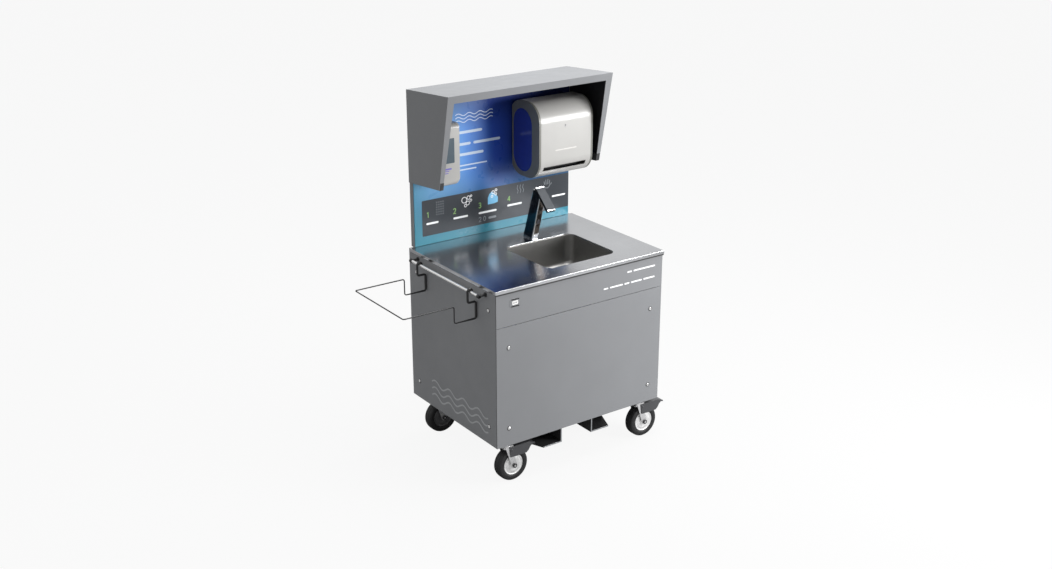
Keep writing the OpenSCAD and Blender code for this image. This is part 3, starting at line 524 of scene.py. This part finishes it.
def make_tyre(corner):
    """Solid tyre with round shoulders and two fine grooves round its tread."""
    low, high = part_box("caster_wheel_" + corner)
    r = (high.x - low.x) / 2
    rim = r - 26 * MM                               # where the tyre meets the hub
    groove = r - 1.1 * MM
    half = [(rim, 19), (rim + 3 * MM, 22.4), (rim + 9 * MM, 23.4), (r - 9 * MM, 23.4), (r - 4 * MM, 22),
            (r - 1.6 * MM, 19), (r - 0.5 * MM, 15), (r, 9.4), (groove, 8.6), (groove, 7.4), (r, 6.6)]
    tyre = Shape()
    tyre.lathe(mirrored([(radius, offset * MM) for radius, offset in half]), (low + high) / 2, 1, 96)
    tyre.piece("tyre_" + corner, "wheel_" + corner, "tyre", ["caster_wheel_" + corner], "tyre", sharp=50)


def make_hub(corner):
    """Dished steel disc with a raised boss and a rolled rim; the rear ones are made dark grey, as painted
    shade of the cabinet over them.
    """
    low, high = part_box("caster_wheel_" + corner)
    dish = [(7, 24), (12, 24.3), (13.5, 23), (14, 20.6), (18, 20.2), (26, 21.2), (36, 20.8), (41, 19.4),
            (43, 20.9), (45.5, 21.6), (46.8, 20.6)]
    hub = Shape()
    hub.lathe(mirrored(in_mm(dish)), (low + high) / 2, 1, 96)
    # The rear discs take the dark copy: painted shade under the cabinet.
    finish = "wheel_disc" if corner.startswith("f") else "rear_disc_painted_shade"
    hub.piece("wheel_disc_" + corner, "wheel_" + corner, finish, sharp=60)


def make_axle_bolts(corner):
    """Cupped black heads on both sides of the fork, on the wheel's axle."""
    low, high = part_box("caster_wheel_" + corner)
    fork_low, fork_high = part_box("caster_fork_" + corner)
    head = [(9.8, -7), (9.8, -0.6), (9.0, 0.4), (5.4, 0.7), (4.6, 0.2), (4.2, -3.4)]
    bolts = Shape()
    for face, out in ((fork_low.y, -1), (fork_high.y, 1)):
        end = (low + high) / 2
        end.y = face
        bolts.lathe(in_mm(head, out), end, 1, 24)
    bolts.piece("axle_bolts_" + corner, "caster_" + corner, "black_plastic", sharp=35)


def make_pedal_rivets(corner):
    """Low heads on both sides of the brake pedal, on its pivot."""
    low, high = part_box("brake_pedal_" + corner)
    head = [(5.2, -0.5), (5.2, 0.5), (4.4, 1.1), (1.5, 1.4)]
    rivets = Shape()
    for face, out in ((low.y, -1), (high.y, 1)):
        pivot = Vector((low.x + 11 * MM, face, high.z - 15 * MM))
        rivets.lathe(in_mm(head, out), pivot, 1, 24)
    rivets.piece("pedal_rivets_" + corner, "pedal_" + corner, "pedal_plastic")


def make_casters():
    for corner in CORNERS:
        make_tyre(corner)
        make_hub(corner)
        make_axle_bolts(corner)
        make_pedal_rivets(corner)


# ---------------------------------------------------------------- basin and worktop

def make_basin():
    """Pressed bowl: round wall corners, a fillet to the floor, and a floor that falls to the drain."""
    low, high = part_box("sink_basin")
    rim = 12 * MM                                   # the basin's flange below the worktop
    width, depth = high.x - low.x - 2 * rim, high.y - low.y - 2 * rim
    mid = (low + high) / 2
    top, floor = high.z, low.z + 1.2 * MM
    fillet_inset, fillet_r = 2.5, 24                # millimetres
    levels = [(-11, top - 1.1 * MM), (-1.5, top - 1.1 * MM), (0, top - 2.2 * MM), (0.1, top - 4 * MM),
              (1.2, top - 40 * MM), (fillet_inset, floor + 30 * MM)]
    for turn in (math.radians(a) for a in (15, 30, 45, 60, 75, 90)):
        levels.append((fillet_inset + fillet_r * (1 - math.cos(turn)),
                       floor + 5 * MM + fillet_r * MM * (1 - math.sin(turn))))

    def ring(wide, deep, radius, z):
        return [Vector((mid.x + u, mid.y + v, z)) for u, v in round_box(wide, deep, radius, steps=10)]

    rings = [ring(width - 2 * inset * MM, depth - 2 * inset * MM, max(12, 40 - inset * 0.6) * MM, z)
             for inset, z in levels]
    for radius, rise in ((70, 2.4), (52, 1.6), (46, 1.0), (44, 0.2)):       # the fall to the drain
        rings.append(ring(2 * radius * MM, 2 * radius * MM, radius * MM, floor + rise * MM))
    bowl = Shape()
    bowl.loft(rings, False, False)
    obj = bowl.piece("basin_bowl", "cabinet", "basin_steel", ["sink_basin"], "stainless", sharp=60)
    wall = obj.modifiers.new("wall", "SOLIDIFY")
    wall.thickness = 1.0 * MM
    wall.offset = -1
    wall.use_even_offset = True


def level(u, v, depth):
    """Frame of a plate that lies flat: its outline in plan, and depth as the height."""
    return Vector((u, v, depth))


def make_worktop_shadow_strip():
    """Black strip between the worktop's turned-down front edge and the apron: painted shadow of the lip's
    overhang.
    """
    low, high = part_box("worktop")
    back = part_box("front_apron")[0].y
    front = low.y + 0.8 * MM
    left, right = low.x + 1 * MM, high.x - 1 * MM
    lip = high.z - 14 * MM                          # bottom of the turned-down edge
    shadow_strip = Shape()
    outline = [(left, back), (left, front), (right, front), (right, back)]
    shadow_strip.plate(outline, level, lip - 6 * MM, lip + 0.3 * MM)
    # Painted shadow: black where the worktop's lip shades the gap above the apron.
    shadow_strip.piece("worktop_shadow_strip", "cabinet", "black_plastic", sharp=30)


def make_corner_seams():
    """Dark seams down the cabinet's front corners."""
    seams = Shape()
    for node, out in (("side_panel_left", -1), ("side_panel_right", 1)):
        low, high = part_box(node)
        face = (low if out < 0 else high).x
        inner, outer = face - out * 1 * MM, face + out * 0.15 * MM
        front, back = low.y - 0.2 * MM, low.y + 1.6 * MM
        outline = [(inner, front), (inner, back), (outer, back), (outer, front)]
        seams.plate(outline, level, low.z + 1 * MM, high.z)
    seams.piece("corner_seams", "cabinet", "black_plastic", sharp=30)


# ---------------------------------------------------------------- screws, status window, channels

def loose_parts(mesh):
    """The low and high corner of the box round each separate part of a mesh."""
    work = bmesh.new()
    work.from_mesh(mesh)
    bmesh.ops.remove_doubles(work, verts=work.verts, dist=0.01 * MM)
    boxes, seen = [], set()
    for vert in work.verts:
        if vert in seen:
            continue
        stack, group = [vert], []
        seen.add(vert)
        while stack:
            at = stack.pop()
            group.append(at.co.copy())
            for edge in at.link_edges:
                other = edge.other_vert(at)
                if other not in seen:
                    seen.add(other)
                    stack.append(other)
        boxes.append([Vector([pick(p[i] for p in group) for i in range(3)]) for pick in (min, max)])
    work.free()
    return boxes


def make_screws():
    """Domed screws with a socket, each on a black ring, in place of the CAD's plain ones."""
    dome = [(7.4, 0.9), (7.4, 1.3), (7.0, 2.0), (6.0, 2.7), (4.6, 3.0), (3.6, 3.0), (3.4, 2.7), (3.2, 1.3)]
    dark_ring = [(9.8, 0.05), (9.8, 0.7), (9.2, 1.0), (6.0, 1.0)]
    heads, dark_rings = Shape(), Shape()
    for low, high in loose_parts(frame["nodes"]["panel_screws"].data):
        base, size = (low + high) / 2, high - low
        axis = 1 if size.y < size.x else 0
        out = 1 if base[axis] > CABINET[axis] else -1
        base[axis] = (low if out > 0 else high)[axis]
        heads.lathe(in_mm(dome, out), base, axis, 32)
        dark_rings.lathe(in_mm(dark_ring, out), base, axis, 32)
    heads.piece("screw_heads", "cabinet", "screw_steel", ["panel_screws"], "screw_steel", sharp=50)
    # A black ring under each head, for the dark rim that shows round each screw.
    dark_rings.piece("screw_dark_rings", "cabinet", "black_plastic", sharp=50)


def make_status_window():
    """Small lit display: a white lens with a battery outline and bars."""
    low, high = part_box("status_window")
    mid = (low + high) / 2
    front = low.y

    def lens(u, v, depth):
        return Vector((mid.x + u, front - depth, mid.z + v))

    glass = Shape()
    glass.plate(round_box(high.x - low.x, high.z - low.z, 3.5 * MM), lens, -0.3 * MM, 0.1 * MM)
    glass.piece("status_lens", "cabinet", "white_window", ["status_window"], "white_window", edge=0.1 * MM)
    bars = Shape()
    for k in range(4):
        bar = round_box(3.2 * MM, 5.6 * MM, 0.6 * MM, middle=((-8.4 + 4.6 * k) * MM, 0))
        bars.plate(bar, lens, 0.1 * MM, 0.25 * MM)
    case = [(-11.2, -4.6), (8.2, -4.6), (8.2, 4.6), (-11.2, 4.6), (-11.2, -4.6)]
    bars.ribbon([(u * MM, v * MM) for u, v in case], 0.9 * MM, lens, 0.1 * MM, 0.22 * MM)
    bars.plate(round_box(2 * MM, 4 * MM, 0.5 * MM, middle=(10 * MM, 0)), lens, 0.1 * MM, 0.22 * MM)
    bars.piece("status_bars", "cabinet", "mark_grey")


def make_channel_trims():
    """Bright cut edges round the fork channels' mouths."""
    low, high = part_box("fork_channels")
    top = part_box("base_pan")[0].z - 1 * MM
    web, rim, thick, inset = 79 * MM, 176 * MM, 6 * MM, 0.3 * MM
    left, right = web + inset, web + thick - inset
    under, over = low.z + inset, low.z + thick - inset
    outline = [(left, top), (left, under), (rim, under), (rim, over), (right, over), (right, top)]
    trims = Shape()
    for side in (-1, 1):
        for end, out in ((low.y, -1), (high.y, 1)):
            trims.plate(outline, lambda u, v, depth: Vector((CABINET.x + side * u, end + out * depth, v)),
                        -0.4 * MM, 0.4 * MM)
    trims.piece("channel_edges", "cabinet", "cut_steel", edge=0.2 * MM)


# ---------------------------------------------------------------- faucet

# The leaning leg from the side, in millimetres: y from the cabinet's middle, z from the floor
LEG_FRONT, LEG_BACK, LEG_FOOT = 110, 178, 884
# Its sloping top: the share of the way from front to back, y and z
LEG_TOP = ((0.0, 50.7, 1089.8), (0.66, 84.2, 1121.3), (1.0, 101.0, 1116.0))


def leg_top(share):
    """Where the leg's top is, at a share of the way from its front to its back."""
    for (s0, y0, z0), (s1, y1, z1) in zip(LEG_TOP, LEG_TOP[1:]):
        if share <= s1:
            t = (share - s0) / (s1 - s0)
            return y0 + (y1 - y0) * t, z0 + (z1 - z0) * t
    return LEG_TOP[-1][1:]


def leg_middle():
    """The leg's middle across the cabinet, and half its width."""
    low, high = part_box("faucet_leg")
    return (low.x + high.x) / 2, (high.x - low.x) / 2


def make_faucet_leg():
    """Leaning leg with soft corners, and brown glass on its front."""
    mid_x, half = leg_middle()
    depth = LEG_BACK - LEG_FRONT
    rings = []
    for t in [k / 12 for k in range(13)]:
        ring = []
        for u, v in round_box(2 * half, depth * MM, 3.2 * MM, steps=5):
            share = min(1, max(0, (v / MM + depth / 2) / depth))
            foot_y = LEG_FRONT + share * depth
            top_y, top_z = leg_top(share)
            y, z = foot_y + (top_y - foot_y) * t, LEG_FOOT + (top_z - LEG_FOOT) * t
            ring.append(CABINET + Vector((mid_x - CABINET.x + u, y * MM, z * MM)))
        rings.append(ring)
    leg = Shape()
    leg.loft(rings)
    leg.piece("faucet_body", "cabinet", "chrome", ["faucet_leg"], "chrome", sharp=35)

    foot = CABINET + Vector((mid_x - CABINET.x, LEG_FRONT * MM, LEG_FOOT * MM))
    run = Vector((0, LEG_TOP[0][1] - LEG_FRONT, LEG_TOP[0][2] - LEG_FOOT)) * MM
    up = run.normalized()
    out = Vector((0, -up.z, up.y))

    def front(u, v, depth):
        """u across the leg, v up its front face from the foot, depth out of it."""
        return foot + up * v + out * depth + Vector((u, 0, 0))

    half_face, long, middle = half - 5 * MM, 168 * MM, 113 * MM
    face = Shape()
    outline = round_box(2 * half_face, long, 2 * MM, half_face * 0.98, middle=(0, middle), steps=10)
    face.plate(outline, front, 0.02 * MM, 0.5 * MM)
    face.piece("faucet_face", "cabinet", "bronze_glass", edge=0.2 * MM)


def make_spout_top():
    """Dark plate on the spout's sloping top, between two bright ends; its charcoal colour is a painted
    reflection of the dark step band in the chrome top.
    """
    low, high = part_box("faucet_spout")
    wide, long = high.x - low.x - 1 * MM, 123.4 * MM
    start = CABINET + Vector((leg_middle()[0] - CABINET.x, 76 * MM, 1130 * MM))
    along = Vector((0, -90, -84.5)).normalized()
    out = Vector((0, along.z, -along.y))

    def top(u, v, depth):
        """u across the spout, v down its slope from the leg's end, depth out of it."""
        return start + along * v + out * depth + Vector((u, 0, 0))

    plate = Shape()
    plate.plate(round_box(wide, long - 13 * MM, 1 * MM, middle=(0, long / 2)), top, 0.02 * MM, 0.5 * MM)
    # Painted reflection: the band's charcoal print stands for the band mirrored in the spout's top.
    plate.piece("spout_glass", "cabinet", "charcoal_print", edge=0.25 * MM)
    ends = Shape()
    for v in (3.4 * MM, long - 3.4 * MM):
        ends.plate(round_box(wide, 5 * MM, 1 * MM, middle=(0, v)), top, 0.02 * MM, 0.6 * MM)
    ends.piece("spout_rims", "cabinet", "chrome", edge=0.25 * MM)


def make_faucet_cheeks():
    """Smoked plates on both sides of the leg, just inside its edges."""
    mid_x, half = leg_middle()
    cheeks = Shape()
    for out in (-1, 1):
        cheeks.plate([(114, 892), (173, 892), (98.5, 1113), (85, 1116), (55, 1088.5)],
                     lambda u, v, depth: Vector((mid_x + out * (half + depth), CABINET.y + u * MM, v * MM)),
                     0.0, 0.3 * MM)
    cheeks.piece("faucet_cheeks", "cabinet", "smoked_chrome", edge=0.1 * MM)


# ---------------------------------------------------------------- rail and rack

def rounded_path(points, radius, steps=6):
    """A path whose square corners are made round."""
    made = [points[0]]
    for before, at, after in zip(points, points[1:], points[2:]):
        u, v = (at - before).normalized(), (after - at).normalized()
        made += [at - radius * u + radius * v + radius * (u * math.sin(a) - v * math.cos(a))
                 for a in [math.pi / 2 * k / steps for k in range(steps + 1)]]
    return made + [points[-1]]


def make_rack():
    """The wire rack, with its hooks and drops in heavier wire than its open shelf."""
    rail_low, rail_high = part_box("side_rail")
    rail = (rail_low + rail_high) / 2
    low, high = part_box("wire_rack")
    heavy_r, light_r = 4.8 * MM, 2.6 * MM
    heavy = 27                      # points of the hook, the step and the drop, before the wire tapers
    taper = 45 * MM
    mid_y = (low.y + high.y) / 2
    side = (high.y - low.y) / 2 - 3 * MM
    hook, wall = 11.1 * MM, 27.7 * MM               # out over the rail, and in to the side panel
    out, reach = 76 * MM, rail.x - low.x - 3 * MM   # where the shelf's riser and outer edge are
    step, foot, shelf = -47 * MM, -121 * MM, -49 * MM   # heights from the rail

    def half(y):
        """One side of the rack, from its hook's tip to the middle of the shelf's outer edge."""
        curl = [Vector((rail.x + hook * math.cos(a), y, rail.z + hook * math.sin(a)))
                for a in (math.radians(turn) for turn in range(-20, 180, 20))]
        corners = [(-hook, 0), (-hook, step), (wall, step), (wall, foot), (-out, foot), (-out, shelf),
                   (-reach, shelf)]
        line = [Vector((rail.x + x, y, rail.z + z)) for x, z in corners]
        return curl + rounded_path(line + [Vector((rail.x - reach, mid_y, rail.z + shelf))], 9 * MM)

    def thickness(line):
        """The wire's radius at each point of one side."""
        away = [0 if k < heavy else min(1, max(0, (rail.x + wall - point.x) / taper))
                for k, point in enumerate(line)]
        return [heavy_r + (light_r - heavy_r) * share for share in away]

    back, front = half(mid_y + side), half(mid_y - side)
    rack = Shape()
    rack.tube(back + front[::-1][1:], thickness(back) + thickness(front)[::-1][1:], 16)
    rack.piece("rack_wire", "rack", "black_wire", ["wire_rack"], "black_wire", sharp=70)


# ---------------------------------------------------------------- dispensers

def make_soap_cover():
    """Soap dispenser's cover: a shell with soft front edges and round lower corners, its window and label."""
    low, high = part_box("soap_cover")
    mid = (low + high) / 2
    width, height = high.x - low.x, high.z - low.z

    def inset(radius, depth):
        """How far a round edge lies inside the cover's outline, at a depth from its front."""
        return radius - math.sqrt(max(0, radius ** 2 - max(0, radius - depth) ** 2))

    rings = []
    for d in [0, 0.6, 1.5, 3, 5, 8, 11, 14, 17, 20, (high.y - low.y) / MM]:
        outline = round_box(width - 2 * inset(6, d) * MM, height - 2 * inset(20, d) * MM, 22 * MM, 6 * MM)
        rings.append([Vector((mid.x + u, low.y + d * MM, mid.z + v)) for u, v in outline])
    cover = Shape()
    cover.loft(rings, True, False)
    obj = cover.piece("soap_shell", "soap_cover", "white_plastic", ["soap_cover"], "white_plastic", sharp=50)
    wall = obj.modifiers.new("wall", "SOLIDIFY")
    wall.thickness = 2.2 * MM
    wall.offset = -1

    def front(u, v, depth):
        return Vector((mid.x + u, low.y - depth, v))

    pane_low, pane_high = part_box("soap_window")
    pane = round_box(pane_high.x - pane_low.x, pane_high.z - pane_low.z, 3 * MM,
                     middle=(0, (pane_low.z + pane_high.z) / 2))
    window = Shape()
    window.plate(pane, front, -0.6 * MM, 0.5 * MM)
    window.piece("soap_glass", "soap_cover", "slate_glass", ["soap_window"], "dark_window", edge=0.4 * MM)
    label = Shape()
    for row, (start, stop, high_mm) in enumerate(((-26, 14, 7), (-26, 2, 3.2), (-26, -2, 3.2))):
        middle = ((start + stop) / 2 * MM, pane_low.z - (24 + 9 * row) * MM)
        bar = round_box((stop - start) * MM, high_mm * MM, high_mm * MM / 2.1, middle=middle)
        label.plate(bar, front, 0.0, 0.3 * MM)
    label.piece("soap_label", "soap_cover", "label_blue")


def make_towel_details():
    """Lock and embossed lines on the towel dispenser's cover."""
    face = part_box("towel_cover")[0].y
    lock_u, lock_v, lines_v = 226, 1378, 1272        # millimetres

    def front(u, v, depth):
        return Vector((CABINET.x + u, face - depth, v))

    lock = Shape()
    outline = arc((lock_u * MM, lock_v * MM), 5.5 * MM, -30, 210, 14) + [(lock_u * MM, (lock_v - 12) * MM)]
    lock.plate(outline, front, -0.5 * MM, 0.5 * MM)
    lock.piece("towel_lock", "towel_cover", "mark_grey", edge=0.3 * MM)
    key = Shape()
    slit = capsule((lock_u * MM, (lock_v - 3) * MM), (lock_u * MM, (lock_v + 3) * MM), 2 * MM)
    key.plate(slit, front, 0.4 * MM, 0.6 * MM)
    key.piece("towel_keyway", "towel_cover", "black_plastic")
    mark = Shape()
    for start, stop in ((176, 214), (219, 262), (267, 285)):
        bar = capsule((start * MM, lines_v * MM), (stop * MM, lines_v * MM), 5 * MM)
        mark.plate(bar, front, -0.3 * MM, 0.35 * MM)
    mark.piece("towel_lines", "towel_cover", "mark_pale")


# ---------------------------------------------------------------- printed marks

# Strokes of each digit, in a box one unit high and wide
DIGITS = {
    "0": [[(.5, 1), (.2, .85), (.1, .5), (.2, .15), (.5, 0), (.8, .15), (.9, .5), (.8, .85), (.5, 1)]],
    "1": [[(.2, .78), (.55, 1), (.55, 0)]],
    "2": [[(.1, .76), (.25, .95), (.5, 1), (.76, .93), (.86, .74), (.76, .52), (.1, 0), (.92, 0)]],
    "3": [[(.12, .9), (.38, 1), (.68, .97), (.82, .77), (.7, .57), (.42, .52), (.72, .47), (.88, .25),
           (.7, .04), (.4, 0), (.1, .1)]],
    "4": [[(.7, 0), (.7, 1)], [(.62, .95), (.06, .3), (.94, .3)]],
}
BOARD_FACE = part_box("graphic_board")[0].y


def board(u, v, depth):
    """Frame of the board's print: millimetres from the cabinet's middle and from the floor."""
    return Vector((CABINET.x + u * MM, BOARD_FACE - depth, v * MM))


def print_bar(shape, start, stop, v, thick):
    """A round-ended bar, which stands for a line of words."""
    stroke = capsule((start + thick / 2, v), (stop - thick / 2, v), thick)
    shape.plate(stroke, board, 0.2 * MM, 0.5 * MM)


def print_line(shape, points, width, layer=0.5):
    shape.ribbon(points, width, board, 0.2 * MM, layer * MM)


def print_digit(shape, digit, u, v, wide, high, width):
    for k, points in enumerate(DIGITS[digit]):
        print_line(shape, [(u + wide * a, v + high * b) for a, b in points], width, 0.5 + 0.1 * k)


def make_step_band():
    """The dark band that holds the steps, and their green numbers."""
    band = Shape()
    band.plate(round_box(786, 161, 5, middle=(19, 1004.5)), board, 0.02 * MM, 0.25 * MM)
    band.piece("step_band", "cabinet", "charcoal_print")
    numbers = Shape()
    for digit, u, v in (("1", -352, 1006), ("2", -216, 1000), ("3", -84, 1002), ("4", 72, 1006)):
        print_digit(numbers, digit, u, v, 15, 23, 3.6)
    numbers.piece("step_numbers", "cabinet", "print_green")


def make_step_lines():
    """White bars under the steps, and the rings of two clusters of bubbles."""
    white = Shape()
    for start, stop, v, thick in ((-354, -292, 978, 9), (-216, -140, 978, 9), (-84, 12, 978, 9),
                                  (70, 150, 986, 9), (318, 394, 986, 8)):
        print_bar(white, start, stop, v, thick)
    soap = (((-158, 1052), 13), ((-136, 1060), 8), ((-140, 1036), 9), ((-124, 1046), 5), ((-152, 1026), 6),
            ((-122, 1066), 4))
    scrub = (((-6, 1062), 7), ((8, 1052), 5), ((10, 1070), 5), ((-12, 1044), 5))
    for middle, radius in soap + scrub:
        print_line(white, arc(middle, radius, 0, 360, 14), 3)
    white.piece("step_lines", "cabinet", "print_white")


def make_step_details():
    """Faint marks: a spray of drops, the time with a bar, rising air and an open hand."""
    faint = Shape()
    for row in range(6):
        for column in range(4):
            drop = arc((-300 + 11 * column, 1012 + 11 * row), 2.2, 0, 330, 11)
            faint.plate(drop, board, 0.2 * MM, 0.5 * MM)
    for k, digit in enumerate("20"):
        print_digit(faint, digit, -84 + 24 * k, 938, 15, 21, 2.6)
    print_bar(faint, -32, 10, 948, 10)
    for u in (128, 143, 158):
        print_line(faint, [(u, 1072), (u - 4, 1058), (u + 2, 1046), (u - 2, 1034)], 2.4)
    palm_u, palm_v = 290, 1046
    print_line(faint, arc((palm_u, palm_v), 15, -150, -10, 8), 3)
    for lean, length in ((-13, 18), (-5, 25), (4, 26), (12, 20)):
        print_line(faint, [(palm_u + lean, palm_v + 2), (palm_u + lean * 1.3, palm_v + length)], 3)
    print_line(faint, [(palm_u + 14, palm_v - 4), (palm_u + 27, palm_v + 6)], 3)
    faint.piece("step_details", "cabinet", "print_faint")


def make_step_hands():
    """Two blue hands, one over the other, on the third step."""
    hands = Shape()
    hands.plate([(-34, 1010), (2, 1010), (6, 1026), (4, 1048), (-4, 1060), (-14, 1066), (-26, 1056),
                 (-34, 1040)], board, 0.2 * MM, 0.4 * MM)
    hands.plate([(-2, 1010), (18, 1014), (20, 1036), (8, 1052), (2, 1040)], board, 0.2 * MM, 0.45 * MM)
    hands.piece("step_hands", "cabinet", "print_blue")


def make_heading():
    """Bars for the heading's lines of words, under three waves."""
    heading = Shape()
    for start, stop, v, thick in ((-212, -60, 1356, 12), (-212, -120, 1304, 12), (-106, 34, 1304, 12),
                                  (-212, -54, 1258, 12), (-212, -36, 1209, 6), (-212, -92, 1190, 6)):
        print_bar(heading, start, stop, v, thick)
    heading.piece("heading_lines", "cabinet", "print_pale")
    waves = Shape()
    for row in range(3):
        points = [(-196 + 4 * k, 1404 + 15 * row + 5 * math.sin(k * 0.45)) for k in range(49)]
        print_line(waves, points, 3.4)
    waves.piece("heading_waves", "cabinet", "print_pale")


def make_side_waves():
    """Wave sign low on the left side panel."""
    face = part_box("side_panel_left")[0].x

    def side(u, v, depth):
        return Vector((face - depth, CABINET.y - u * MM, v * MM))

    waves = Shape()
    for row in range(3):
        v0 = 246 + 32 * row
        points = [(-172 + 8 * k, v0 + 12 * math.sin(k * math.pi / 7)) for k in range(56)]
        waves.ribbon(points, 6.5, side, 0.02 * MM, 0.3 * MM)
    waves.piece("side_waves", "cabinet", "mark_silver")


def make_apron_lines():
    """Short bars at the right end of the front apron, which stand for two lines of words."""
    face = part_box("front_apron")[0].y

    def front(u, v, depth):
        return Vector((CABINET.x + u * MM, face - depth, v * MM))

    lines = Shape()
    for start, stop, v in ((238, 262, 826), (272, 390, 826), (112, 136, 776), (146, 214, 776),
                           (224, 250, 776), (260, 318, 776), (328, 390, 776)):
        lines.plate(capsule((start + 3, v), (stop - 3, v), 6.5), front, 0.02 * MM, 0.3 * MM)
    lines.piece("apron_lines", "cabinet", "print_white")


# ---------------------------------------------------------------- rail caps and hood feet

def make_rail_caps():
    """Black caps in both ends of the side rail."""
    low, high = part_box("side_rail")
    cap = [(6.6, -5), (6.6, -0.5), (5.6, 0.0), (2.0, 0.0)]
    caps = Shape()
    for face, out in ((low.y, -1), (high.y, 1)):
        end = (low + high) / 2
        end.y = face
        caps.lathe(in_mm(cap, out), end, 1, 32)
    caps.piece("rail_caps", "cabinet", "black_plastic", sharp=50)


def make_hood_feet():
    """Black feet inside the hood's lower corners."""
    feet = Shape()
    half = 415.8 * MM                               # from the cabinet's middle to the hood's inner side

    for side in (-1, 1):
        def foot(u, v, depth):
            return Vector((CABINET.x + side * (half - depth), CABINET.y + u * MM, v * MM))
        feet.plate([(89.6, 1224), (95.8, 1190.5), (150, 1186), (150, 1216)], foot, 0.0, 18 * MM)
    feet.piece("hood_feet", "cabinet", "black_plastic", edge=1.0 * MM)


# ---------------------------------------------------------------- the whole scene

set_camera()
set_stage()
MATERIALS = make_materials()
dress_cad()
make_casters()
make_basin()
make_worktop_shadow_strip()
make_corner_seams()
make_screws()
make_status_window()
make_channel_trims()
make_faucet_leg()
make_spout_top()
make_faucet_cheeks()
make_rack()
make_soap_cover()
make_towel_details()
make_step_band()
make_step_lines()
make_step_details()
make_step_hands()
make_heading()
make_side_waves()
make_apron_lines()
make_rail_caps()
make_hood_feet()
